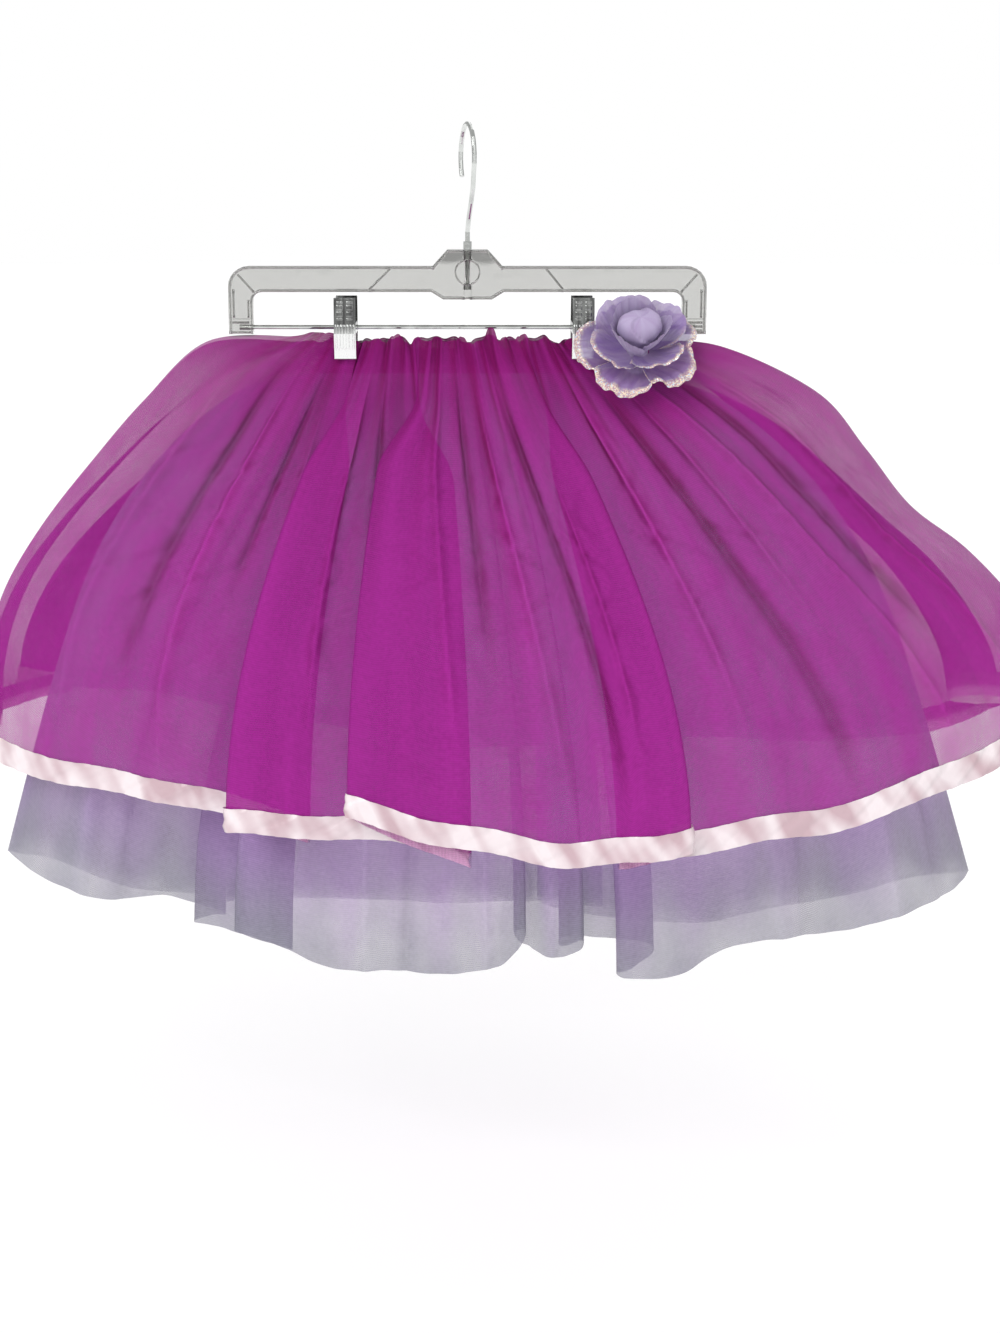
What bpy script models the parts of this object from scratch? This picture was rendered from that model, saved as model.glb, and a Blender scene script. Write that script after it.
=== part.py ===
"""A gathered tutu skirt hanging from a clear clip hanger, in metres, +Z up, front towards -Y.

The origin is under the crown of the hanger's hook, where a rail holds it. Each skirt panel is a
thin wall through sections that run from the gathered waist to the hem. A section is one row of a
table: where it starts at the waist, where it ends at the hem, and how far it stands out there.
Sections that step back in x make the knife pleats, where the cloth lies three deep.
"""

import math

import bmesh
import bpy
import numpy as np
from mathutils import Matrix, Vector

# Clearances and walls
CLOTH = 0.001
SEAM_GAP = 0.0003

# Waist
WAIST_TOP_Z = -0.157
BAND_TOP_Z = -0.162
BAND_HEIGHT = 0.018
BAND_HALF_WIDTH = 0.112
BAND_HALF_DEPTH = 0.0053
WAIST_HALF_WIDTH = 0.127
WAIST_HALF_DEPTH = 0.0084
GATHER_DEPTH = 0.0016
UNDER_WAIST_HALF_WIDTH = 0.118
UNDER_TOP_Z = BAND_TOP_Z - BAND_HEIGHT - SEAM_GAP

# Hanger
BEAM_TOP_Z = -0.101
BEAM_BOTTOM_Z = -0.120
BOSS_TOP_Z = -0.089
BOSS_BOTTOM_Z = -0.1255
HANGER_HALF_WIDTH = 0.178
LEG_WIDTH = 0.018
LEG_BOTTOM_Z = -0.151
HANGER_HALF_DEPTH = 0.0045
RIM = 0.0022
POCKET_DEPTH = 0.003
ROD_Z = -0.146
ROD_RADIUS = 0.00175
BORE_CLEARANCE = 0.0003
ROD_IN_LEG = 0.010
CLIP_X = (-0.091, 0.086)
CLIP_WIDTH = 0.016
JAW_SHEET = 0.0012

# Hook
WIRE_RADIUS = 0.00175
CROOK_RADIUS = 0.024
HOOK_TURN = math.radians(12.0)
HOOK_FOOT_Z = -0.118
NECK_TOP_Z = -0.076

# Flower
FLOWER_CENTRE = Vector((0.1255, -0.0325, -0.1615))
FLOWER_TILT = math.radians(27.0)
FLOWER_SQUASH = 0.80
FLOWER_STEM = 0.0231
FLOWER_RISE = 0.45
FLOWER_LIFT = 0.0083
PETAL = 0.0012

# How the cloth runs from waist to hem, at even steps down it: the share of its way out and of its drop
# spread, drop
FALL_LEFT = (
    (0.000, 0.000),
    (0.270, 0.005),
    (0.464, 0.140),
    (0.627, 0.286),
    (0.778, 0.434),
    (0.900, 0.585),
    (0.964, 0.720),
    (0.996, 0.860),
    (1.000, 1.000),
)
FALL_MIDDLE = (
    (0.000, 0.000),
    (0.170, 0.120),
    (0.350, 0.245),
    (0.530, 0.370),
    (0.690, 0.495),
    (0.820, 0.620),
    (0.915, 0.745),
    (0.975, 0.872),
    (1.000, 1.000),
)
FALL_RIGHT = (
    (0.000, 0.000),
    (0.180, 0.010),
    (0.400, 0.130),
    (0.515, 0.280),
    (0.620, 0.430),
    (0.750, 0.545),
    (0.870, 0.690),
    (0.965, 0.850),
    (1.000, 1.000),
)
FALL_UNDER_SIDE = (
    (0.000, 0.000),
    (0.200, 0.030),
    (0.360, 0.100),
    (0.490, 0.185),
    (0.610, 0.290),
    (0.715, 0.420),
    (0.815, 0.600),
    (0.910, 0.800),
    (1.000, 1.000),
)

# The panels' sections, left to right. Where hem_x steps back, the cloth lies three deep in a knife
# pleat: layer moves its edges in and out, and tuck sets them sideways straight below the waist.
# waist_x, hem_x, hem_z, layer, tuck
OUTER_FRONT = (
    (-0.1270, -0.379, -0.470, 0.000, 0.000),
    (-0.1235, -0.365, -0.482, 0.000, 0.000),
    (-0.1160, -0.320, -0.486, 0.003, 0.000),
    (-0.1070, -0.272, -0.492, -0.003, 0.000),
    (-0.0980, -0.226, -0.495, 0.002, 0.000),
    (-0.0890, -0.173, -0.503, -0.008, 0.000),
    (-0.0830, -0.117, -0.515, -0.004, 0.012),
    (-0.0790, -0.147, -0.508, 0.000, 0.000),
    (-0.0750, -0.177, -0.501, 0.004, -0.012),
    (-0.0680, -0.140, -0.502, 0.008, 0.000),
    (-0.0580, -0.096, -0.505, 0.000, 0.000),
    (-0.0480, -0.042, -0.509, -0.008, 0.008),
    (-0.0400, 0.003, -0.520, -0.004, 0.022),
    (-0.0360, -0.041, -0.504, 0.000, 0.000),
    (-0.0320, -0.086, -0.481, 0.004, -0.022),
    (-0.0230, -0.045, -0.493, 0.008, -0.008),
    (-0.0110, 0.004, -0.504, 0.003, 0.000),
    (0.0030, 0.056, -0.518, -0.003, 0.000),
    (0.0170, 0.102, -0.513, 0.002, 0.000),
    (0.0290, 0.134, -0.511, 0.008, 0.000),
    (0.0380, 0.161, -0.509, 0.004, 0.010),
    (0.0420, 0.135, -0.517, 0.000, 0.000),
    (0.0460, 0.109, -0.523, -0.004, -0.010),
    (0.0540, 0.165, -0.517, -0.008, 0.000),
    (0.0650, 0.213, -0.509, -0.003, 0.000),
    (0.0770, 0.267, -0.506, -0.003, 0.000),
    (0.0890, 0.320, -0.494, 0.003, 0.000),
    (0.1010, 0.370, -0.482, -0.002, 0.000),
    (0.1130, 0.415, -0.468, 0.002, 0.000),
    (0.1215, 0.449, -0.457, 0.000, 0.000),
    (0.1270, 0.468, -0.446, 0.000, 0.000),
)
OUTER_BACK = (
    (-0.1270, -0.379, -0.470, -0.004, 0.000),
    (-0.1225, -0.368, -0.461, -0.002, 0.006),
    (-0.1200, -0.376, -0.460, 0.001, 0.000),
    (-0.1175, -0.382, -0.457, 0.004, -0.006),
    (-0.1110, -0.347, -0.447, -0.004, 0.000),
    (-0.1040, -0.319, -0.444, -0.003, 0.012),
    (-0.1000, -0.341, -0.444, 0.001, 0.000),
    (-0.0960, -0.364, -0.445, 0.005, -0.012),
    (-0.0820, -0.279, -0.452, 0.008, 0.000),
    (-0.0650, -0.210, -0.467, -0.004, 0.000),
    (-0.0450, -0.142, -0.488, 0.004, 0.000),
    (-0.0230, -0.070, -0.502, -0.004, 0.000),
    (0.0000, 0.002, -0.511, 0.004, 0.000),
    (0.0220, 0.074, -0.508, -0.004, 0.000),
    (0.0430, 0.151, -0.506, 0.004, 0.000),
    (0.0620, 0.224, -0.497, -0.003, 0.000),
    (0.0790, 0.302, -0.496, 0.002, 0.000),
    (0.0910, 0.374, -0.488, 0.008, 0.000),
    (0.0985, 0.434, -0.458, 0.004, 0.014),
    (0.1030, 0.410, -0.453, 0.000, 0.000),
    (0.1075, 0.387, -0.450, -0.004, -0.014),
    (0.1150, 0.413, -0.440, -0.006, 0.000),
    (0.1220, 0.448, -0.436, 0.000, 0.000),
    (0.1270, 0.468, -0.446, 0.000, 0.000),
)
UNDER_FRONT = (
    (-0.1180, -0.366, -0.560, 0.000, 0.000),
    (-0.1120, -0.333, -0.578, 0.004, 0.000),
    (-0.1030, -0.285, -0.587, 0.000, 0.000),
    (-0.0940, -0.238, -0.588, -0.014, 0.000),
    (-0.0860, -0.190, -0.598, -0.012, 0.004),
    (-0.0820, -0.200, -0.597, -0.008, 0.000),
    (-0.0780, -0.211, -0.596, -0.004, -0.004),
    (-0.0720, -0.181, -0.604, -0.004, 0.000),
    (-0.0660, -0.135, -0.615, -0.003, 0.006),
    (-0.0620, -0.157, -0.607, 0.001, 0.000),
    (-0.0580, -0.177, -0.597, 0.005, -0.006),
    (-0.0500, -0.134, -0.610, 0.008, 0.000),
    (-0.0400, -0.093, -0.623, 0.002, 0.000),
    (-0.0300, -0.051, -0.623, 0.006, 0.000),
    (-0.0190, -0.009, -0.627, 0.003, 0.000),
    (-0.0080, 0.024, -0.617, 0.009, 0.000),
    (0.0000, 0.044, -0.594, 0.003, 0.004),
    (0.0040, 0.035, -0.595, -0.003, 0.000),
    (0.0100, 0.045, -0.606, -0.009, -0.004),
    (0.0160, 0.065, -0.611, 0.006, 0.000),
    (0.0220, 0.088, -0.606, 0.001, 0.005),
    (0.0260, 0.079, -0.605, -0.004, 0.000),
    (0.0300, 0.070, -0.605, -0.009, -0.005),
    (0.0360, 0.093, -0.603, -0.014, 0.000),
    (0.0420, 0.141, -0.611, -0.009, 0.006),
    (0.0460, 0.127, -0.625, -0.003, 0.000),
    (0.0500, 0.115, -0.634, 0.003, -0.006),
    (0.0580, 0.154, -0.632, 0.009, 0.000),
    (0.0690, 0.197, -0.614, 0.002, 0.000),
    (0.0800, 0.247, -0.605, 0.008, 0.000),
    (0.0900, 0.298, -0.611, -0.002, 0.000),
    (0.1000, 0.341, -0.598, 0.004, 0.000),
    (0.1100, 0.382, -0.590, -0.002, 0.000),
    (0.1180, 0.400, -0.577, 0.000, 0.000),
)
UNDER_BACK = (
    (-0.1180, -0.366, -0.560, 0.000, 0.000),
    (-0.1060, -0.332, -0.575, 0.004, 0.000),
    (-0.0880, -0.272, -0.590, -0.004, 0.000),
    (-0.0700, -0.214, -0.604, -0.009, 0.000),
    (-0.0540, -0.149, -0.613, -0.005, 0.006),
    (-0.0480, -0.170, -0.610, 0.000, 0.000),
    (-0.0420, -0.191, -0.610, 0.005, -0.006),
    (-0.0140, -0.055, -0.620, 0.009, 0.000),
    (0.0080, 0.018, -0.617, 0.009, 0.000),
    (0.0300, 0.108, -0.620, 0.005, 0.006),
    (0.0370, 0.085, -0.617, 0.000, 0.000),
    (0.0440, 0.062, -0.616, -0.005, -0.006),
    (0.0660, 0.190, -0.621, -0.009, 0.000),
    (0.0860, 0.261, -0.612, -0.003, 0.000),
    (0.1040, 0.341, -0.595, 0.003, 0.000),
    (0.1180, 0.400, -0.577, 0.000, 0.000),
)

HEM_ARC_POWER = 2.4
HEM_ARC_ROUNDNESS = 0.85
WAIST_ARC_POWER = 10.0
LEFT_BLEND = 9
RIGHT_BLEND = 4
FLAT_PART = 0.060
LAYER_GROWTH = 0.08
TUCK_START = 0.12
TUCK_GROWTH = 0.16
GATHER_FADE = 0.16
PUFF_HEIGHT = 0.008
PUFF_FADE = 0.15
PUFF_PLACE = -0.88
PUFF_WIDTH = 0.22
SEAM_HALF_GAP = 0.0006
RIBBON_PLACE = 0.958
EDGE_TURN = 5.0
LEVELS = (0.0, FLAT_PART, 0.12, 0.20, 0.34, 0.52, 0.74, RIBBON_PLACE, 1.0)
UNDER_LEVELS = (0.0, 0.12, 0.26, 0.46, 0.72, 1.0)
GATHER_END = 6


class Drape:
    """One panel: its sections, its side of the skirt, and how it hangs between them."""

    def __init__(self, sections, side, depth, top_z, waist_half_width, waist_half_depth,
                 side_falls, gathers=0, puff_height=0.0, column_width=0.006,
                 beside_edges=(0.20,)):
        self.sections = np.array(sections)
        self.side = side
        self.depth = depth
        self.top_z = top_z
        self.waist_half_width = waist_half_width
        self.waist_half_depth = waist_half_depth
        self.side_falls = side_falls
        self.gathers = gathers
        self.puff_height = puff_height
        self.column_width = column_width
        self.beside_edges = beside_edges

    def edges(self):
        """The rows where hem_x turns back, each with the share of a section that its turn takes."""
        steps = np.diff(self.sections[:, 1])
        rows = [k for k in range(1, len(steps)) if steps[k - 1] * steps[k] < 0]
        return [(k, 0.5 if {k - 1, k + 1} & set(rows) else 1.0) for k in rows]

    def columns(self):
        """Places across the panel, counted in sections: even ones, and closer ones round each pleat's edge."""
        turns = {k for k, _ in self.edges()}
        places = set()
        for k, width in enumerate(np.diff(self.sections[:, 0])):
            count = max(2, round(width / self.column_width))
            even = [m / count for m in range(1, count)]
            if k in turns:
                even = [u for u in even if u > self.beside_edges[-1]] + list(self.beside_edges)
            if k + 1 in turns:
                even = [u for u in even if u < 1 - self.beside_edges[-1]] + [1 - u for u in self.beside_edges]
            places |= {k, k + 1} | {k + u for u in even}
        return np.array(sorted(places), dtype=float)

    def layer_places(self, t):
        """The places t, drawn away from each pleat's edge, so that its layers lie flat and turn in a U."""
        for k, reach in self.edges():
            u = (t - k) / reach
            turned = k + reach * np.tanh(EDGE_TURN * u) / math.tanh(EDGE_TURN)
            t = np.where(np.abs(u) < 1, turned, t)
        return t


FRONT, BACK = -1.0, 1.0
OUTER_FRONT_DRAPE = Drape(OUTER_FRONT, FRONT, 0.150, WAIST_TOP_Z, WAIST_HALF_WIDTH, WAIST_HALF_DEPTH,
                          side_falls=(FALL_LEFT, FALL_RIGHT), gathers=26, puff_height=PUFF_HEIGHT,
                          column_width=0.0027, beside_edges=(0.12, 0.30))
OUTER_BACK_DRAPE = Drape(OUTER_BACK, BACK, 0.120, WAIST_TOP_Z, WAIST_HALF_WIDTH, WAIST_HALF_DEPTH,
                         side_falls=(FALL_LEFT, FALL_RIGHT), gathers=26, column_width=0.0032,
                         beside_edges=(0.12, 0.30))
UNDER_FRONT_DRAPE = Drape(UNDER_FRONT, FRONT, 0.088, UNDER_TOP_Z, UNDER_WAIST_HALF_WIDTH,
                          BAND_HALF_DEPTH, side_falls=(FALL_UNDER_SIDE, FALL_UNDER_SIDE))
UNDER_BACK_DRAPE = Drape(UNDER_BACK, BACK, 0.030, UNDER_TOP_Z, UNDER_WAIST_HALF_WIDTH,
                         BAND_HALF_DEPTH, side_falls=(FALL_UNDER_SIDE, FALL_UNDER_SIDE))


def through_rows(table, t):
    """Each column's values at the places t between the table's rows, on a smooth curve through the rows."""
    table = np.asarray(table)
    last = len(table) - 1
    low = np.clip(np.floor(t).astype(int), 0, last - 1)
    u = (t - low)[:, None]
    before = table[np.clip(low - 1, 0, last)]
    here = table[low]
    there = table[low + 1]
    after = table[np.clip(low + 2, 0, last)]
    return 0.5 * (2 * here + (there - before) * u + (2 * before - 5 * here + 4 * there - after) * u**2
                  + (3 * here - before - 3 * there + after) * u**3)


def smooth(x):
    x = np.clip(x, 0.0, 1.0)
    return x * x * (3 - 2 * x)


def fall(table, v):
    """Spread and drop at the shares v of the cloth's length, read from a fall table."""
    return through_rows(table, np.clip(v, 0, 1) * (len(table) - 1)).T


def drape_points(drape, t, v):
    """The panel's middle surface at the places t across it and the shares v down it.

    A point starts at the gathered waist, a flat oval, and goes out and down by its fall table to
    the hem, which is a wider oval. Pleats grow in just below the band, where the gathers fade.
    """
    columns = through_rows(drape.sections, t)
    waist_x, hem_x, hem_z, _, tuck = (column[:, None] for column in columns.T)
    plain_layer = through_rows(drape.sections, t)[:, 3, None]
    turned_layer = through_rows(drape.sections, drape.layer_places(t))[:, 3, None]
    v = np.asarray(v)
    across = np.clip(waist_x / drape.waist_half_width, -1, 1)

    spread, drop = fall(FALL_MIDDLE, v)
    for table, beside, blend in zip(drape.side_falls, (-across, across), (LEFT_BLEND, RIGHT_BLEND)):
        share = np.clip(beside, 0, 1) ** blend
        side_spread, side_drop = fall(table, v)
        spread = spread + share * (side_spread - spread)
        drop = drop + share * (side_drop - drop)

    settled = smooth((v - FLAT_PART) / LAYER_GROWTH)
    tucked = smooth((v - TUCK_START) / TUCK_GROWTH)
    x = waist_x + (hem_x - waist_x - tuck) * spread + tuck * tucked
    layer = (plain_layer + (turned_layer - plain_layer) * tucked) * settled

    waist_arc = np.sqrt(1 - np.abs(across) ** WAIST_ARC_POWER)
    hem_arc = (1 - np.abs(across) ** HEM_ARC_POWER) ** HEM_ARC_ROUNDNESS
    forward = fall(FALL_MIDDLE, (v - FLAT_PART) / (1 - FLAT_PART))[0]
    waist_y = drape.waist_half_depth * waist_arc
    gather = GATHER_DEPTH * np.sin(2 * math.pi * drape.gathers * across / 2) * np.exp(-v / GATHER_FADE)
    y = waist_y + (drape.depth * hem_arc - waist_y) * forward + layer
    if drape.gathers:
        y = y + gather * (1 - np.abs(across) ** GATHER_END)
    y = np.maximum(y, SEAM_HALF_GAP)

    beside = np.clip(1 - ((across - PUFF_PLACE) / PUFF_WIDTH) ** 2, 0, 1) ** 2
    puff = drape.puff_height * beside * np.exp(-(v / PUFF_FADE) ** 2)
    z = drape.top_z + (hem_z - drape.top_z) * drop + puff
    return np.stack([x, drape.side * y, z], axis=2)


def grid_normals(points, side):
    """Unit normals of a grid of points, on its side of the skirt."""
    across = np.gradient(points, axis=0)
    down = np.gradient(points, axis=1)
    normal = np.cross(across, down) * side
    return normal / np.maximum(np.linalg.norm(normal, axis=2, keepdims=True), 1e-12)


def wall_mesh(name, middle, normal, thickness):
    """A closed wall: the grid moved out and in by half the thickness, joined round its edge."""
    across, down = middle.shape[:2]
    outer = middle + normal * thickness / 2
    inner = middle - normal * thickness / 2
    shape = bmesh.new()
    sides = [[[shape.verts.new(point) for point in row] for row in side] for side in (outer, inner)]
    for i in range(across - 1):
        for j in range(down - 1):
            for side, flip in zip(sides, (False, True)):
                quad = [side[i][j], side[i + 1][j], side[i + 1][j + 1], side[i][j + 1]]
                shape.faces.new(quad[::-1] if flip else quad)
    edge = [(i, 0) for i in range(across)] + [(across - 1, j) for j in range(1, down)]
    edge += [(i, down - 1) for i in range(across - 2, -1, -1)] + [(0, j) for j in range(down - 2, 0, -1)]
    for (i, j), (k, m) in zip(edge, edge[1:] + edge[:1]):
        shape.faces.new([sides[1][i][j], sides[1][k][m], sides[0][k][m], sides[0][i][j]])
    bmesh.ops.recalc_face_normals(shape, faces=shape.faces)
    return finish_mesh(name, shape)


def finish_mesh(name, shape):
    mesh = bpy.data.meshes.new(name)
    shape.to_mesh(mesh)
    shape.free()
    thing = bpy.data.objects.new(name, mesh)
    bpy.context.scene.collection.objects.link(thing)
    return thing


def paint(thing, colour, roughness, metallic=0.0, alpha=1.0):
    """Gives the object its own material and smooth shading."""
    material = bpy.data.materials.new(thing.name)
    material.use_nodes = True
    shader = material.node_tree.nodes["Principled BSDF"]
    shader.inputs["Base Color"].default_value = (*colour, 1.0)
    shader.inputs["Roughness"].default_value = roughness
    shader.inputs["Metallic"].default_value = metallic
    shader.inputs["Alpha"].default_value = alpha
    thing.data.materials.append(material)
    thing.data.shade_smooth()
    thing.data.set_sharp_from_angle(angle=math.radians(35))
    return thing


def panel(name, drape, levels):
    """One skirt panel, from the waist to the hem."""
    points = drape_points(drape, drape.columns(), levels)
    return wall_mesh(name, points, grid_normals(points, drape.side), CLOTH)


def hem_ribbon(name, drape):
    """The satin ribbon along a hem: the panel's own lowest points, moved out to lie on it."""
    points = drape_points(drape, drape.columns(), LEVELS)
    normal = grid_normals(points, drape.side)
    lowest = (slice(1, -1), slice(-2, None))
    return wall_mesh(name, points[lowest] + normal[lowest] * (CLOTH + SEAM_GAP), normal[lowest], CLOTH)


def waistband():
    """The elastic band inside the gathers: a flattened ring, open at both ends."""
    corner_steps = 5
    arc = np.linspace(-math.pi / 2, math.pi / 2, corner_steps + 1)
    straight = BAND_HALF_WIDTH - BAND_HALF_DEPTH
    right = [(straight + BAND_HALF_DEPTH * math.cos(a), BAND_HALF_DEPTH * math.sin(a)) for a in arc]
    ring = right + [(-x, -y) for x, y in right]
    half = CLOTH / 2
    shape = bmesh.new()
    loops = []
    for offset, z in ((half, BAND_TOP_Z), (half, BAND_TOP_Z - BAND_HEIGHT),
                      (-half, BAND_TOP_Z - BAND_HEIGHT), (-half, BAND_TOP_Z)):
        loop = []
        for x, y in ring:
            centre_x = math.copysign(straight, x)
            away = Vector((x - centre_x, y, 0)).normalized()
            loop.append(shape.verts.new(Vector((x, y, z)) + away * offset))
        loops.append(loop)
    for loop, following in zip(loops, loops[1:] + loops[:1]):
        for k in range(len(ring)):
            m = (k + 1) % len(ring)
            shape.faces.new([loop[k], loop[m], following[m], following[k]])
    bmesh.ops.recalc_face_normals(shape, faces=shape.faces)
    return finish_mesh("waistband", shape)


def cylinder(name, start, end, radius, sides):
    """A closed round bar between two points."""
    axis = Vector(end) - Vector(start)
    shape = bmesh.new()
    bmesh.ops.create_cone(shape, cap_ends=True, segments=sides, radius1=radius, radius2=radius,
                          depth=axis.length)
    turn = Vector((0, 0, 1)).rotation_difference(axis).to_matrix().to_4x4()
    middle = Matrix.Translation((Vector(start) + Vector(end)) / 2)
    bmesh.ops.transform(shape, matrix=middle @ turn, verts=shape.verts)
    return finish_mesh(name, shape)


def box(name, low, high):
    shape = bmesh.new()
    bmesh.ops.create_cube(shape, size=1.0)
    size = Vector(high) - Vector(low)
    place = Matrix.Translation((Vector(low) + Vector(high)) / 2) @ Matrix.Diagonal((*size, 1.0))
    bmesh.ops.transform(shape, matrix=place, verts=shape.verts)
    return finish_mesh(name, shape)


def combine(thing, other, operation):
    """A Boolean with another object, which stays as a hidden helper."""
    other.hide_render = True
    other.display_type = "WIRE"
    modifier = thing.modifiers.new(other.name, "BOOLEAN")
    modifier.object = other
    modifier.operation = operation
    modifier.solver = "EXACT"
    return thing


def rounded(centre, radius, start, end, steps):
    """Points of an arc in the hanger's plane, angles in degrees."""
    angles = np.radians(np.linspace(start, end, steps + 1))
    return [(centre[0] + radius * math.cos(a), centre[1] + radius * math.sin(a)) for a in angles]


def hanger_outline():
    """The moulding's outline in x and z, anticlockwise from the front: a beam with a raised boss and two legs."""
    outer_corner = 0.015
    inner_corner = 0.007
    inner_x = HANGER_HALF_WIDTH - LEG_WIDTH
    top = rounded((HANGER_HALF_WIDTH - outer_corner, BEAM_TOP_Z - outer_corner), outer_corner, 0, 90, 6)
    inside = rounded((inner_x - inner_corner, BEAM_BOTTOM_Z - inner_corner), inner_corner, 90, 0, 4)
    right = [(0.018, BOSS_BOTTOM_Z), (0.027, BEAM_BOTTOM_Z)] + inside
    right += [(inner_x, LEG_BOTTOM_Z), (HANGER_HALF_WIDTH, LEG_BOTTOM_Z)] + top
    right += [(0.026, BEAM_TOP_Z), (0.015, BOSS_TOP_Z)]
    return right + [(-x, z) for x, z in reversed(right)]


def hanger_frame():
    """The clear moulding: a rimmed plate, pocketed on both faces, bored for the hook and the rod."""
    shape = bmesh.new()
    outline = [shape.verts.new((x, -HANGER_HALF_DEPTH, z)) for x, z in hanger_outline()]
    front = shape.faces.new(outline)
    made = bmesh.ops.extrude_face_region(shape, geom=[front])
    back_verts = [item for item in made["geom"] if isinstance(item, bmesh.types.BMVert)]
    bmesh.ops.translate(shape, vec=(0, 2 * HANGER_HALF_DEPTH, 0), verts=back_verts)
    bmesh.ops.recalc_face_normals(shape, faces=shape.faces)
    for face in [face for face in shape.faces if len(face.verts) > 4]:
        inward = -face.normal.copy()
        bmesh.ops.inset_region(shape, faces=[face], thickness=RIM, use_even_offset=True)
        bmesh.ops.translate(shape, vec=inward * POCKET_DEPTH, verts=face.verts)
    frame = finish_mesh("hanger_frame", shape)
    bore = WIRE_RADIUS + BORE_CLEARANCE
    combine(frame, cylinder("swivel_disc", (0, -HANGER_HALF_DEPTH - 0.0008, -0.1055),
                            (0, HANGER_HALF_DEPTH + 0.0008, -0.1055), 0.009, 20), "UNION")
    combine(frame, cylinder("neck_post", (0, 0, BOSS_TOP_Z - 0.0005), (0, 0, BOSS_BOTTOM_Z + 0.0005),
                            0.0040, 12), "UNION")
    socket_top = LEG_BOTTOM_Z + 0.011
    for side, word in ((-1, "left"), (1, "right")):
        near, far = sorted((side * (HANGER_HALF_WIDTH - 0.0005),
                            side * (HANGER_HALF_WIDTH - LEG_WIDTH + 0.0005)))
        combine(frame, box(f"socket_{word}", (near, -HANGER_HALF_DEPTH + 0.0002, LEG_BOTTOM_Z + 0.0005),
                           (far, HANGER_HALF_DEPTH - 0.0002, socket_top)), "UNION")
        inner_x = side * (HANGER_HALF_WIDTH - LEG_WIDTH)
        combine(frame, cylinder(f"rod_bore_{word}", (inner_x - side * 0.002, 0, ROD_Z),
                                (inner_x + side * (ROD_IN_LEG + BORE_CLEARANCE), 0, ROD_Z),
                                ROD_RADIUS + BORE_CLEARANCE, 12), "DIFFERENCE")
    combine(frame, cylinder("hook_bore", (0, 0, BOSS_TOP_Z + 0.002), (0, 0, HOOK_FOOT_Z - BORE_CLEARANCE),
                            bore, 12), "DIFFERENCE")
    return frame


def hook_line():
    """Points of the hook's wire: up from its foot, out to the spine, round the crook, down to its tip."""
    centre_z = WIRE_RADIUS - CROOK_RADIUS
    neck = [(0.0, HOOK_FOOT_Z), (0.0, -0.100), (0.0, -0.088), (0.0, NECK_TOP_Z)]
    sway = [(-0.0045, -0.0660), (-0.0125, -0.0545), (-0.0190, -0.0440)]
    angles = np.radians(np.linspace(205, -35, 17))
    crook = [(CROOK_RADIUS * math.cos(a), centre_z + CROOK_RADIUS * math.sin(a)) for a in angles]
    reach = neck + sway + crook
    return [Vector((-r * math.sin(HOOK_TURN), r * math.cos(HOOK_TURN), z)) for r, z in reach]


def tube(name, line, radius, sides):
    """A closed round tube along a line of points, its rings carried along without twist."""
    shape = bmesh.new()
    rings = []
    sideways = Vector((math.cos(HOOK_TURN), math.sin(HOOK_TURN), 0))
    for k, point in enumerate(line):
        ahead = (line[min(k + 1, len(line) - 1)] - line[max(k - 1, 0)]).normalized()
        other = ahead.cross(sideways).normalized()
        angles = [2 * math.pi * m / sides for m in range(sides)]
        rings.append([shape.verts.new(point + radius * (math.cos(a) * sideways + math.sin(a) * other))
                      for a in angles])
    for ring, following in zip(rings, rings[1:]):
        for m in range(sides):
            n = (m + 1) % sides
            shape.faces.new([ring[m], ring[n], following[n], following[m]])
    shape.faces.new(rings[0][::-1])
    shape.faces.new(rings[-1])
    bmesh.ops.recalc_face_normals(shape, faces=shape.faces)
    return finish_mesh(name, shape)


def hook():
    """The wire hook, with the collar that sits on the boss."""
    wire = tube("hook", hook_line(), WIRE_RADIUS, 10)
    collar = cylinder("hook_collar", (0, 0, BOSS_TOP_Z + SEAM_GAP), (0, 0, BOSS_TOP_Z + 0.006), 0.0031, 12)
    return combine(wire, collar, "UNION")


def jaw(name, centre_x, side):
    """One clip jaw: a bent plate that grips the waist, with two ears that hold the rod."""
    lip_y = WAIST_HALF_DEPTH + GATHER_DEPTH + CLOTH / 2 + SEAM_GAP
    profile = [(lip_y + 0.0012, -0.1235), (lip_y + 0.0036, -0.1500), (lip_y, -0.1670), (lip_y, -0.1686)]
    outside = [(y + JAW_SHEET, z) for y, z in profile]
    section = profile + outside[::-1]
    half = CLIP_WIDTH / 2
    shape = bmesh.new()
    ends = [[shape.verts.new((centre_x + x, side * y, z)) for y, z in section] for x in (-half, half)]
    shape.faces.new(ends[0])
    shape.faces.new(ends[1][::-1])
    for k in range(len(section)):
        m = (k + 1) % len(section)
        shape.faces.new([ends[0][m], ends[0][k], ends[1][k], ends[1][m]])
    bmesh.ops.recalc_face_normals(shape, faces=shape.faces)
    plate = finish_mesh(name, shape)
    ear_y = sorted((side * SEAM_GAP, side * (lip_y + 0.0036)))
    for x, word in ((-half, "a"), (half - JAW_SHEET, "b")):
        ear = box(f"{name}_ear_{word}", (centre_x + x, ear_y[0], -0.1500),
                  (centre_x + x + JAW_SHEET, ear_y[1], -0.1420))
        combine(plate, ear, "UNION")
    bore = cylinder(f"{name}_bore", (centre_x - half - 0.002, 0, ROD_Z),
                    (centre_x + half + 0.002, 0, ROD_Z), ROD_RADIUS + BORE_CLEARANCE, 12)
    return combine(plate, bore, "DIFFERENCE")


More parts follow.
